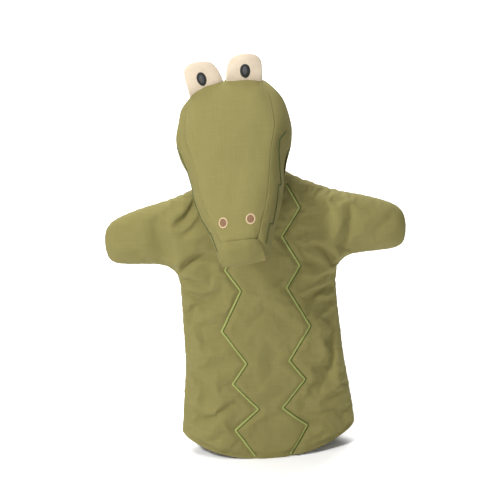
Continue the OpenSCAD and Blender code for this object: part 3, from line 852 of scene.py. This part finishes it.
def relief_of_head(p, seam):
    """Stuffing lumps and the pull of the seams on a head panel, from its points' distance to its seams."""
    lumps = 0.5 * waves(p, 31, 30) + 0.16 * waves(p, 32, 11)
    pucker = 0.26 * waves(p, 33, 4.4) * bell(seam, 4.0)
    front = 1 + 2 * smooth(p[..., 1], 112, 122)
    groove = -front * (0.22 * bell(seam, 0.8) + 0.3 * bell(seam, 3.2))
    pull = 0.12 + 0.88 * smooth(p[..., 1], 70, 120)
    return lumps * smooth(seam, 0, 8) + (pucker + groove) * pull


def head_panel(name, t_span, a_span, material, seams, rows=110, cols=46):
    """A panel of the head between two turns and two lengths, drawn in at its seams and sewn ends."""
    a = np.linspace(*a_span, rows)[:, None]
    t = np.linspace(*t_span, cols)[None, :]
    base = upper_point(a, t)
    sewn = [upper_point(a, seam) for seam in seams] + [upper_point(end, t) for end in a_span if end >= 0]
    edge = np.min([np.linalg.norm(base - line, axis=-1) for line in sewn], axis=0)
    points, _ = on_head(a, t, relief_of_head(base, edge))
    across = np.cumsum(np.linalg.norm(np.diff(base, axis=1, prepend=base[:, :1]), axis=-1), axis=1)
    across -= across[:, cols // 2][:, None]
    return grid_piece(name, points, merged(across + 37 * t_span[0], a), material, thick=1.2)


def build_head_panels():
    """The head's top, cheeks and back. Returns a search tree over those that carry embroidery."""
    length, left_t = (0, HEAD_LEN), 180 - SEAM_T
    top = head_panel("head_top_cover", (SEAM_T, left_t), length, OLIVE, (SEAM_T, left_t))
    dress(top, "head", "olive_cloth", "head_top", "head_stuffing", fill=0.8)
    cheeks = []
    for tag, span, seam in (("right", (0, SEAM_T), SEAM_T), ("left", (left_t, 180), left_t)):
        side = head_panel(f"head_side_{tag}_cover", span, length, OLIVE_SHADED, (seam,), cols=30)
        cheeks.append(dress(side, "head", "olive_cloth", f"head_side_{tag}", fill=0.8))
    back = head_panel("head_back_cover", (0, 180), (HEAD_BACK, 0), OLIVE_SHADED, (), rows=26, cols=60)
    dress(back, "head", "olive_cloth", "head_back", fill=0.8)
    return surface(top, *cheeks)


def build_snout_front():
    """The panel that closes the snout: from the lip up to the seam, crowned forward."""
    t = np.linspace(0.5, 179.5, 70)[None, :]
    s = np.linspace(0, 1, 34)[:, None]
    arc = upper_point(HEAD_LEN, t)
    lip = mouth_n(HEAD_LEN)
    rise, lean = arc[..., 2] - lip, HEAD_LEN - arc[..., 1]
    x = arc[..., 0] * (1 - 0.02 * (1 - s))
    aside = np.abs(x / half_w(HEAD_LEN))
    crown = 3.6 * (4 * s * (1 - s)) ** 0.6 * (1 - aside**2.6) + 1.2 * np.sin(math.pi * s) * aside**4
    base = merged(x, HEAD_LEN - lean * s + crown, lip + rise * s - 0.8 * (1 - s) * (1 - aside**2))
    edge = np.minimum(rise * (1 - s), 30)
    lumps = 0.35 * waves(base, 41, 14) * smooth(edge, 0, 5)
    groove = 0.9 * bell(edge, 1.1) + 0.25 * waves(base, 42, 4) * bell(edge, 3.5)
    points = head_place(base + (lumps - groove)[..., None] * [0, 1, 0])
    uv = merged(x + 500, base[..., 2])
    obj = grid_piece("snout_front_cover", points, uv, OLIVE_SHADED, flip=True, thick=1.0)
    dress(obj, "head", "olive_cloth", "snout_front", fill=0.8)


def plan_ray(angle):
    """Where rays from the middle of the neck's hole meet the outline of the head's underside, in plan."""
    a = np.linspace(HEAD_BACK, THROAT_FRONT, 200)
    right = np.stack([half_w(a), a], 1)
    loop = np.concatenate([right, [[0, THROAT_FRONT]], (right * [-1, 1])[::-1], [[0, HEAD_BACK]]])
    loop = resample(closed(loop), 0.5)
    own = np.unwrap(np.arctan2(loop[:, 1] - HOLE_A, loop[:, 0]))
    order = np.argsort(own)
    own, loop = own[order], np.concatenate([loop[order]] * 3)
    own = np.concatenate([own - 2 * math.pi, own, own + 2 * math.pi])
    return np.stack([np.interp(angle, own, loop[:, k]) for k in range(2)], -1)


def underside_depth(x, a):
    """How far the throat hangs below the cheeks' edges."""
    return lower_h(a) * np.maximum(1 - np.abs(x / (half_w(a) + 1e-6)) ** HEAD_P, 0) ** (1 / HEAD_P)


def build_throat():
    """The underside of the head, from the neck's hole, whose edge is turned in, out to the cheeks."""
    phi = np.linspace(0, 2 * math.pi, 120, endpoint=False)
    hole = merged(HOLE_R[0] * np.cos(phi), HOLE_A + HOLE_R[1] * np.sin(phi))
    rim = plan_ray(np.arctan2(hole[:, 1] - HOLE_A, hole[:, 0]))
    s = (np.linspace(0, 1, 30) ** 0.75)[:, None, None]
    plan = hole * (1 - s) + rim * s
    x, a = plan[..., 0], plan[..., 1]
    depth = underside_depth(x, a)
    n = mouth_n(a) - depth - 0.45 * waves(plan, 51, 15) * smooth(depth, 0, 6)
    lip = np.array([3.5, 1.5, 0.0])[:, None]
    inner = merged(x[0] * 0.97, (a[0] - HOLE_A) * 0.97 + HOLE_A, n[0] + 0.5 + lip * 1.6)
    own = np.concatenate([inner, merged(x, a, n)])
    points = head_place(own)
    obj = grid_piece("throat_cover", points, own[..., :2] + [700, 0], OLIVE_SHADED, round_it=True)
    dress(obj, "head", "olive_cloth", "head_throat", fill=0.5)


def mouth_sheet(name, end, width, level, dip, seed, flip=False):
    """A sheet of mouth lining from the fold to near the lip."""
    start = FOLD_A + 1.6
    a = np.linspace(start, end, 50)[:, None]
    s = np.linspace(-1, 1, 40)[None, :]
    plan = merged(width(a) * s, a)
    inner = 1 - np.maximum(np.abs(s) ** 4, np.abs((2 * a - start - end) / (end - start)) ** 6)
    n = mouth_n(a) + level + dip * inner + 0.18 * waves(plan, seed, 9) * inner
    points = head_place(merged(plan[..., 0], a, n))
    return grid_piece(name, points, plan, MOUTH, flip=flip, thick=0.8)


def build_mouth():
    palate = mouth_sheet("palate_cloth", HEAD_LEN - 0.6, lambda a: half_w(a) - 0.9, 0.35, 1.0, 61)
    dress(palate, "head", "mouth_lining", "palate_lining")
    floor = mouth_sheet("jaw_mouth_cloth", JAW_END - 1.2, lambda a: jaw_w(a) - 0.5, -0.35, -0.8, 62, True)
    dress(floor, "jaw", "mouth_lining", "jaw_lining")


# ---- lower jaw ----

JAW_END = HEAD_LEN - 6
jaw_share = curve([(0, 0.88), (JAW_END - 5, 0.88), (JAW_END - 1.8, 0.75), (JAW_END, 0.46)])
jaw_depth = curve([
    (FOLD_A, 7), (FOLD_A + 8, 9.8), (FOLD_A + 20, 14), (JAW_END - 14, 14), (JAW_END - 6, 11.5),
    (JAW_END - 3, 8.7), (JAW_END, 4.9),
])


def jaw_w(a):
    return half_w(a) * jaw_share(a)


def build_jaw():
    """The lower jaw's cloth: a trough below the mouth's plane, closed to a point at the lip."""
    a = np.linspace(FOLD_A + 2.2, JAW_END, 60)[:, None]
    t = np.linspace(180, 360, 50)[None, :]
    own = merged(jaw_w(a) * ring_x(t), a, mouth_n(a) - 0.3 + jaw_depth(a) * ring_y(t))
    own[..., 2] -= 0.4 * waves(own, 71, 14) * np.abs(ring_y(t))
    plan = own[..., :2]
    tip = np.broadcast_to([0.0, JAW_END + 0.4, mouth_n(JAW_END) - 2.0], (1, 50, 3))
    own = np.concatenate([own, tip])
    points = head_place(own)
    uv = np.concatenate([plan, plan[-1:]]) + [900, 0]
    obj = grid_piece("jaw_cover_cloth", points, uv, OLIVE_SHADED, flip=True)
    dress(obj, "jaw", "olive_cloth", "jaw_cover", "jaw_stuffing", fill=0.7)


def build_pocket(name, body, span, w, low, high):
    """A flattened sleeve of lining with a sewn end, over a span of the head's length."""
    a = np.linspace(*span, 24)[:, None]
    t = np.linspace(0, 360, 40, endpoint=False)[None, :]
    close = np.sqrt(np.maximum(1 - smooth(a, span[1] - 5, span[1] + 0.2) ** 2, 0.004))
    n = mouth_n(a) + (low + high) / 2 + (high - low - 1) / 2 * ring_y(t) * close
    own = merged((w - 0.6) * ring_x(t) * (0.9 + 0.1 * close), a, n)
    points = head_place(own)
    obj = grid_piece(f"{name}_cloth", points, own[..., :2], LINING, round_it=True, thick=0.6)
    dress(obj, body, "lining", name)


def build_pockets():
    build_pocket("finger_pocket", "head", (FOLD_A - 4, FOLD_A + 32), 15, 3.3, 14.3)
    build_pocket("thumb_pocket", "jaw", (FOLD_A + 18, JAW_END - 15), 9.5, -11.1, -3.3)


# ---- neck ----


def neck_axis(h):
    """Points on the neck's axis, h above the nodding axis."""
    return PIVOT + np.asarray(h, float)[..., None] * turned([0, 0, 1], "Y", HEAD_ROLL)


def edge_loop(p, f, low, high):
    """The surface's open edge between two heights, in order round it."""
    count = {}
    for face in f:
        for i, j in zip(face, face[1:] + face[:1]):
            key = (min(i, j), max(i, j))
            count[key] = count.get(key, 0) + 1
    rim = sorted({i for key, c in count.items() if c == 1 for i in key if low < p[i][2] < high})
    pts = p[rim]
    angle = np.arctan2(pts[:, 1] - pts[:, 1].mean(), pts[:, 0] - pts[:, 0].mean())
    return pts[np.argsort(angle)]


def neck_ring(angle, r):
    """Points round the neck's axis, level with it, at a radius."""
    return turned(merged(r * np.cos(angle), r * np.sin(angle), 0 * angle), "Y", HEAD_ROLL)


def gathered(angle, depth=1.0):
    """The neck's radius, with its gathers."""
    return 1 + 0.05 * np.sin(17 * angle + 1.5 * np.sin(3 * angle)) * depth


def build_neck_root(p, f):
    """The gathered cloth from the body's neck edge up to the tube."""
    loop = edge_loop(p, f, NECK_TOP - 1, NECK_TOP + 3)
    centre = neck_axis(np.array(NECK_LOW))
    out = loop[:, :2] - centre[:2]
    angle = np.arctan2(out[:, 1], out[:, 0])
    s = np.linspace(0, 1, 10)[:, None, None]
    top = centre + neck_ring(angle, NECK_R * gathered(angle))
    root = loop * (1 - s) + top * s
    root[..., :2] += unit(out) * 1.2 * np.sin(math.pi * s)
    uv = merged(15 * angle, 30 * s[..., 0]) + [1100, 0]
    obj = grid_piece("neck_root_cover", root, uv, OLIVE_SHADED, round_it=True)
    dress(obj, None, "olive_cloth", fill=0.3)
    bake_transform(obj)


def build_neck(p, f):
    build_neck_root(p, f)
    h = np.linspace(NECK_LOW, NECK_HIGH, 26)[:, None]
    turn = np.linspace(0, 2 * math.pi, 96, endpoint=False)[None, :]
    r = (NECK_R - smooth(h, -14, NECK_HIGH)) * gathered(turn, 1 - smooth(h, -24, 0))
    points = neck_axis(h) + neck_ring(turn, r)
    uv = merged(15 * turn, h) + [1300, 0]
    obj = grid_piece("neck_cover", points, uv, OLIVE_SHADED, round_it=True, thick=1.0)
    dress(obj, "neck", "olive_cloth", "neck_tube", fill=0.3)


def build_nape():
    """The slack cloth between the back of the neck and the back of the head."""
    s = np.linspace(0, 1, 20)[:, None]
    x = np.linspace(-1, 1, 30)[None, :]
    low = neck_axis(np.array(-22.0)) + neck_ring(np.radians(90 - 62 * x), 15.0)
    over = np.radians(72 * x)
    hole_x, hole_a = (HOLE_R[0] + 0.1) * np.sin(over), HOLE_A - (HOLE_R[1] + 0.3) * np.cos(over)
    high = head_place(merged(hole_x, hole_a, mouth_n(hole_a) - underside_depth(hole_x, hole_a) + 0.2))
    slack = (1.6 + 0.5 * np.sin(9 * math.pi * s)) * np.sin(math.pi * s)
    points = low * (1 - s[..., None]) + high * s[..., None] + slack[..., None] * [0.0, 1.0, -0.3]
    obj = grid_piece("nape_cover", points, merged(20 * x, 30 * s) + [1500, 0], OLIVE_SHADED)
    dress(obj, None, "olive_cloth", fill=0.2)
    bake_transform(obj)


# ---- eyes, nostrils and embroidery ----

EYE_SHIFT, EYE_GAP = -3.0, 27.8
EYE_FAN, EYE_TILT = 7.5, 45.0
PUPIL, PUPIL_CENTRE = (3.7, 5.5), (1.9, 3.2)
NOSTRIL_X, NOSTRIL, NOSTRIL_FILL = 9.3, (2.8, 3.3), (2.5, 3.0)
# The right flap, from the root of its outer edge round to the root of its inner edge
EYE_OUTLINE = [
    (12.2, -7), (12.4, -1.4), (12.6, 7.0), (12.0, 12.0), (8.2, 16.0), (2.5, 17.0), (-3.2, 16.2),
    (-8.8, 13.6), (-11.5, 8.4), (-12.9, 1.0), (-12.4, -7),
]


def flap_place(side, p):
    """Points of an eye flap, x across, y up it and z out of its front, in the row frame."""
    x = EYE_SHIFT + side * EYE_GAP / 2
    seam = float(upper_h(0.0)) * (1 - (abs(x) / float(half_w(0.0))) ** 3) ** (1 / 3) - BROW
    q = turned(turned(p, "Z", -side * EYE_FAN), "X", EYE_TILT)
    return head_place(flip_a(q) + [x, -2.0, seam])


def pillow(outline, step, swell, seed):
    """A small stuffed pattern: its triangulation, its seam's points, and its height."""
    loop = resample(closed(outline), step)[:-1]
    base = hex_points(loop.min(0) - 1, loop.max(0) + 1, step)
    base = base[inside(base, loop) & (to_line(base, closed(loop)) > 0.6 * step)]
    ring = loop + loop_normals(loop) * 0.25 * step
    ring = ring[inside(ring, loop)]
    verts, tris, source = triangulated(loop, np.concatenate([base, ring]), 0.02)
    fixed = source >= 0
    height = np.sqrt(inflate(verts, tris, fixed, np.full(len(verts), swell)))
    return verts, tris, fixed, height * (1 + 0.06 * waves(verts, seed, 5 * step))


def build_eye(side, tag):
    """An eye's flap. Returns its pattern's points and how far its front stands out there."""
    outline = rounded(np.array(EYE_OUTLINE + EYE_OUTLINE[:1]) * [side, 1])[:-1][::side]
    verts, tris, fixed, height = pillow(outline, 0.9, 0.12, 81 + side)
    height = np.minimum(height, 1.9)
    bow = -0.012 * verts[:, 0] ** 2 * smooth(verts[:, 1], 0, 12)
    middle = 1.5 + bow + 0.25 * waves(verts, 84 + side, 12)
    front, back = (np.column_stack([verts, middle + way * height]) for way in (1, -1))
    faces, used = sewn_sheets(len(verts), tris, fixed)
    points = flap_place(side, np.concatenate([front, back]))[used]
    uv = np.concatenate([verts, verts + [50, 0]])[used]
    obj = new_mesh(f"eye_{tag}_cover", points, faces, uv, CREAM)
    dress(obj, "head", "cream_cloth", f"eye_{tag}", fill=0.4)
    return verts, middle + height


def patch(name, half, lift, dome, place, material, rings=10, around=64):
    """A small domed oval of thread. place maps its own x, y and height to the row frame."""
    r = np.linspace(0.02, 1, rings)[:, None]
    t = np.linspace(0, 2 * math.pi, around, endpoint=False)[None, :]
    x, y = r * half[0] * np.cos(t), r * half[1] * np.sin(t)
    own = merged(x, y, lift + dome * np.sqrt(np.maximum(1 - r**2, 0)))
    points = place(own.reshape(-1, 3)).reshape(own.shape)
    return grid_piece(name, points, merged(y, x), material, round_it=True)


def build_pupil(side, tag, verts, top):
    """The embroidered pupil, laid on the eye's front."""
    centre = np.array([side * 0.9 + 0.2, side * 0.5 + 4.8])
    level = top[np.argmin(np.linalg.norm(verts - centre, axis=1))]

    def place(p):
        fall = np.interp(np.linalg.norm(p[:, :2], axis=1), [0, 6], [0, -0.25])
        return flap_place(side, p + merged(*centre, level + fall))

    outer = patch(f"pupil_{tag}_thread", PUPIL, -0.15, 0.75, place, GREY_THREAD)
    dress(outer, "head", "grey_thread", f"pupil_{tag}")
    inner = patch(f"pupil_{tag}_centre", PUPIL_CENTRE, 0.3, 0.42, place, GREY_CENTRE)
    dress(inner, "head", "grey_thread")


def ring_piece(name, place, half, radius, material, around=60):
    """An oval ring of thread, somewhat flattened."""
    t = np.linspace(0, 2 * math.pi, around, endpoint=False)
    path = merged(half[0] * np.cos(t), half[1] * np.sin(t), 0.15)
    up = np.array([0, 0, 1.0])
    side = np.cross(unit(np.roll(path, -1, 0) - np.roll(path, 1, 0)), up)
    k = np.linspace(0, 2 * math.pi, 10, endpoint=False)[:, None]
    loop = path[:, None] + radius * (np.cos(k) * side[:, None] + 0.65 * np.sin(k) * up)
    s = np.cumsum(np.linalg.norm(np.diff(path, axis=0, prepend=path[-1:]), axis=1))
    uv = merged(s[:, None], k[:, 0])
    loop = np.concatenate([loop, loop[:1]])
    uv = np.concatenate([uv, uv[-1:] + [s[-1] / around, 0]])
    points = place(loop.reshape(-1, 3)).reshape(loop.shape)
    return grid_piece(name, points, uv, material, round_it=True, flip=True)


def nostril_place(side, skin):
    """A function that lays a nostril's own points on the snout's top."""
    t = math.degrees(math.acos(np.clip((NOSTRIL_X / float(half_w(NOSTRIL_A))) ** 1.5, 0, 1)))
    t, lift = np.array(t if side > 0 else 180 - t), np.array(0.05)
    origin, normal = on_head(np.array(NOSTRIL_A), t, lift)
    along = unit(on_head(np.array(NOSTRIL_A + 2.0), t, lift)[0] - origin)
    across = np.cross(normal, along)

    def place(p):
        flat = origin + p[:, :1] * across + p[:, 1:2] * along
        return settle(skin, flat, np.broadcast_to(normal, flat.shape), p[:, 2])

    return place


def build_nostrils(skin):
    rings, fills = [], []
    for side, tag in SIDES:
        place = nostril_place(side, skin)
        rings.append(ring_piece(f"nostril_{tag}_ring", place, NOSTRIL, 0.48, CREAM_THREAD))
        fills.append(patch(f"nostril_{tag}_fill", NOSTRIL_FILL, 0.05, 0.25, place, BROWN_THREAD, 6, 40))
    dress(joined("nostril_ring_threads", rings), "head", "cream_thread", "nostril_rings")
    dress(joined("nostril_fill_threads", fills), "head", "brown_thread", "nostril_fills")


# Shares of the head's length, and degrees up from the right lip
MOUTH_LINE = [(0.31, 17), (0.37, 29), (0.6, 9), (0.62, 18), (0.83, 9), (0.85, 20), (0.965, 16)]


def build_mouth_lines(skin):
    """The embroidered teeth on both cheeks: the stitches are real, but their near-black colour is painted
    shade of the groove. The left line lies lower.
    """
    places = rounded(resample(np.array([(a * HEAD_LEN, t) for a, t in MOUTH_LINE]), 1.2), 1)
    for side, tag in SIDES:
        t = places[:, 1] if side > 0 else 180 - 0.75 * places[:, 1]
        path, normal = on_head(places[:, 0], t, np.zeros(len(places)))
        path = settle(skin, path, normal, 0.1)
        obj = tube(f"mouth_{tag}_thread", path, 0.55, SHADE_THREAD, normal, flat=0.6)
        dress(obj, "head", "green_thread", f"mouth_zigzag_{tag}")


def drape(tree, xz, lift, from_back=False):
    """Points of the pattern's plane laid on the cover's front or back, with their outward directions."""
    sign = 1 if from_back else -1
    out, normals = [], []
    for x, z in xz:
        hit, normal, _, _ = tree.ray_cast(Vector((x, sign * 80, z)), Vector((0, -sign, 0)))
        if hit is None:
            continue
        normal = np.array(normal if normal.y * sign > 0 else -normal)
        out.append(np.array(hit) + normal * lift)
        normals.append(normal)
    return np.array(out), np.array(normals)


def build_body_lines(cloth):
    """The chest's two embroidered lines, each with a dark thread along one side that is painted shadow of
    the raised stitch.
    """
    for (_, tag), line in zip(SIDES, body_lines()):
        dense = resample(line, 0.8)
        path, normal = drape(cloth, dense, -0.05)
        obj = tube(f"body_{tag}_thread", path, 0.6, GREEN_THREAD, normal, flat=0.65)
        dress(obj, "torso", "green_thread", f"body_zigzag_{tag}")
        # The dark thread 1 mm to one side of each line is painted shadow.
        d = unit(np.gradient(dense, axis=0))
        beside, normal = drape(cloth, dense + np.stack([d[:, 1], -d[:, 0]], 1), -0.1)
        edge = tube(f"body_{tag}_shadow_thread", beside, 0.4, SHADE_THREAD, normal, sides=6)
        dress(edge, "torso", "green_thread")


def build_hem(p, f, cloth):
    """The cloth turned up inside the hem, and the row of stitches that holds it."""
    loop = edge_loop(p, f, -2, 25)
    x, y = loop[:, 0], loop[:, 1]
    depth = 26
    inward = -unit(merged(x / HEM_HALF**2, y / depth**2, 0 * x))
    steps = [(0, 0), (0.35, -0.12), (0.9, -0.15), (1.5, 0.2), (1.8, 1.0), (2.0, 4.0), (2.1, 9.0)]
    rows = np.array([loop + inward * d + [0, 0, h] for d, h in steps])
    turn = np.arctan2(y / depth, x / HEM_HALF)
    uv = merged(57 * turn, np.array(steps)[:, 1:]) + [1700, 0]
    obj = grid_piece("hem_turned", rows, uv, OLIVE_SHADED, round_it=True, flip=True)
    dress(obj, "torso", "olive_cloth", "hem_band")
    stitches = [*hem_stitches(cloth, False), *hem_stitches(cloth, True)]
    dress(joined("hem_stitches", stitches), "torso", "olive_cloth")


def hem_stitches(cloth, from_back):
    for start in np.arange(-56, 56.1, STITCH_PITCH):
        x = np.linspace(start, start + STITCH, 5)
        path, normal = drape(cloth, np.stack([x, hem_line(x) + STITCH_UP], 1), 0.02, from_back)
        if len(path) == len(x):
            lift = np.sin(np.linspace(0, math.pi, 5))[:, None] * 0.16 - 0.08
            yield tube("stitch", path + normal * lift, 0.17, SEAM_THREAD, normal, sides=5)


def build_lining():
    """The body's lining: a loose tube inside the wadding, open below and above."""
    s = np.linspace(0, 1, 70)[:, None]
    t = np.linspace(0, 2 * math.pi, 150, endpoint=False)[None, :]
    half, top = 53.5, 150.0
    z = (hem_line(half * np.cos(t)) + 5.5) * (1 - s) + top * s
    w = np.interp(z, [0, 60, 110, top], [half, 49, 46, 38])
    d = np.interp(z, [0, 60, 110, top], [20.5, 15.5, 11.5, 10])
    lumps = waves(merged(half * np.cos(t), 20 * np.sin(t), z), 91, 18) * 0.5
    points = merged((w + lumps) * np.cos(t), (d + lumps) * np.sin(t) + cloth_middle(z), z)
    obj = grid_piece("body_lining_cloth", points, merged(50 * t, z), LINING, round_it=True, thick=0.6)
    dress(obj, "torso", "lining", "body_lining")


# ---- CAD pieces that stay, and the studio ----

# Each light's place, what it looks at, its size in metres and its power in watts
LIGHTS = {
    "key": ((-0.8, -0.8, 1.1), (0, 0, 0.18), 0.25, 17.5),
    "front": ((-0.25, -1.3, 0.5), (0, 0, 0.18), 0.25, 2.6),
    "top": ((-0.2, -0.3, 1.5), (0, 0, 0.2), 0.7, 10),
    "back": ((0, 1.6, 1.6), (0, 1.2, 0), 2.0, 70),
}
WORLD_STRENGTH = 0.24
CAMERA_TARGET, CAMERA_REACH, CAMERA_RISE, CAMERA_ROLL = (-0.0044, 0, 0.1476), 1.5, 18, -3.3


def paint_cad():
    for name, material in (("palate_board", BOARD), ("jaw_board", BOARD), ("mouth_fold", FOLD_CLOTH)):
        obj = frame["nodes"][name]
        if not obj.material_slots:
            obj.data.materials.append(material)
        for slot in obj.material_slots:
            slot.material = material


def area_light(name, place, target, size, power):
    data = bpy.data.lights.new(name, "AREA")
    data.shape = "DISK"
    data.size = size
    data.energy = power
    obj = bpy.data.objects.new(name, data)
    obj.location = place
    obj.rotation_euler = (Vector(target) - Vector(place)).to_track_quat("-Z", "Y").to_euler()
    bpy.context.scene.collection.objects.link(obj)


def build_studio():
    bpy.ops.mesh.primitive_plane_add(size=8, location=(0, 0, 0))
    ground = bpy.context.object
    ground.name = "studio_floor"
    g = Graph("studio_floor")
    g.surface(g.mix(g.noise(g.place(), 3.0), (0.95, 0.95, 0.95, 1), (0.97, 0.97, 0.97, 1)), 0.9)
    ground.data.materials.append(g.material)
    scene = bpy.context.scene
    scene.world = bpy.data.worlds.new("studio")
    scene.world.use_nodes = True
    background = scene.world.node_tree.nodes["Background"]
    background.inputs["Color"].default_value = (1, 1, 1, 1)
    background.inputs["Strength"].default_value = WORLD_STRENGTH
    for name, light in LIGHTS.items():
        area_light(name, *light)
    scene.view_settings.view_transform = "Standard"
    scene.view_settings.look = "None"
    scene.view_settings.exposure = 0.0
    scene.view_settings.gamma = 1.0


def build_camera():
    data = bpy.data.cameras.new("camera")
    data.sensor_width = 36
    data.lens = 154.3
    data.clip_end = 20
    cam = bpy.data.objects.new("camera", data)
    target, rise = Vector(CAMERA_TARGET), math.radians(CAMERA_RISE)
    cam.location = target + Vector((0, -math.cos(rise), math.sin(rise))) * CAMERA_REACH
    look = (target - cam.location).to_track_quat("-Z", "Y").to_matrix()
    cam.rotation_euler = (look @ Matrix.Rotation(math.radians(CAMERA_ROLL), 3, "Z")).to_euler()
    bpy.context.scene.collection.objects.link(cam)
    bpy.context.scene.camera = cam


# ---- the puppet ----

BODY_POINTS, BODY_FACES = build_body()
BODY_CLOTH = BVHTree.FromPolygons([Vector(c) for c in BODY_POINTS], BODY_FACES)
build_hem(BODY_POINTS, BODY_FACES, BODY_CLOTH)
build_body_lines(BODY_CLOTH)
build_lining()
build_neck(BODY_POINTS, BODY_FACES)
build_nape()
HEAD_SKIN = build_head_panels()
build_snout_front()
build_throat()
build_mouth()
build_jaw()
build_pockets()
for side, tag in SIDES:
    build_pupil(side, tag, *build_eye(side, tag))
build_nostrils(HEAD_SKIN)
build_mouth_lines(HEAD_SKIN)
paint_cad()
build_studio()
build_camera()
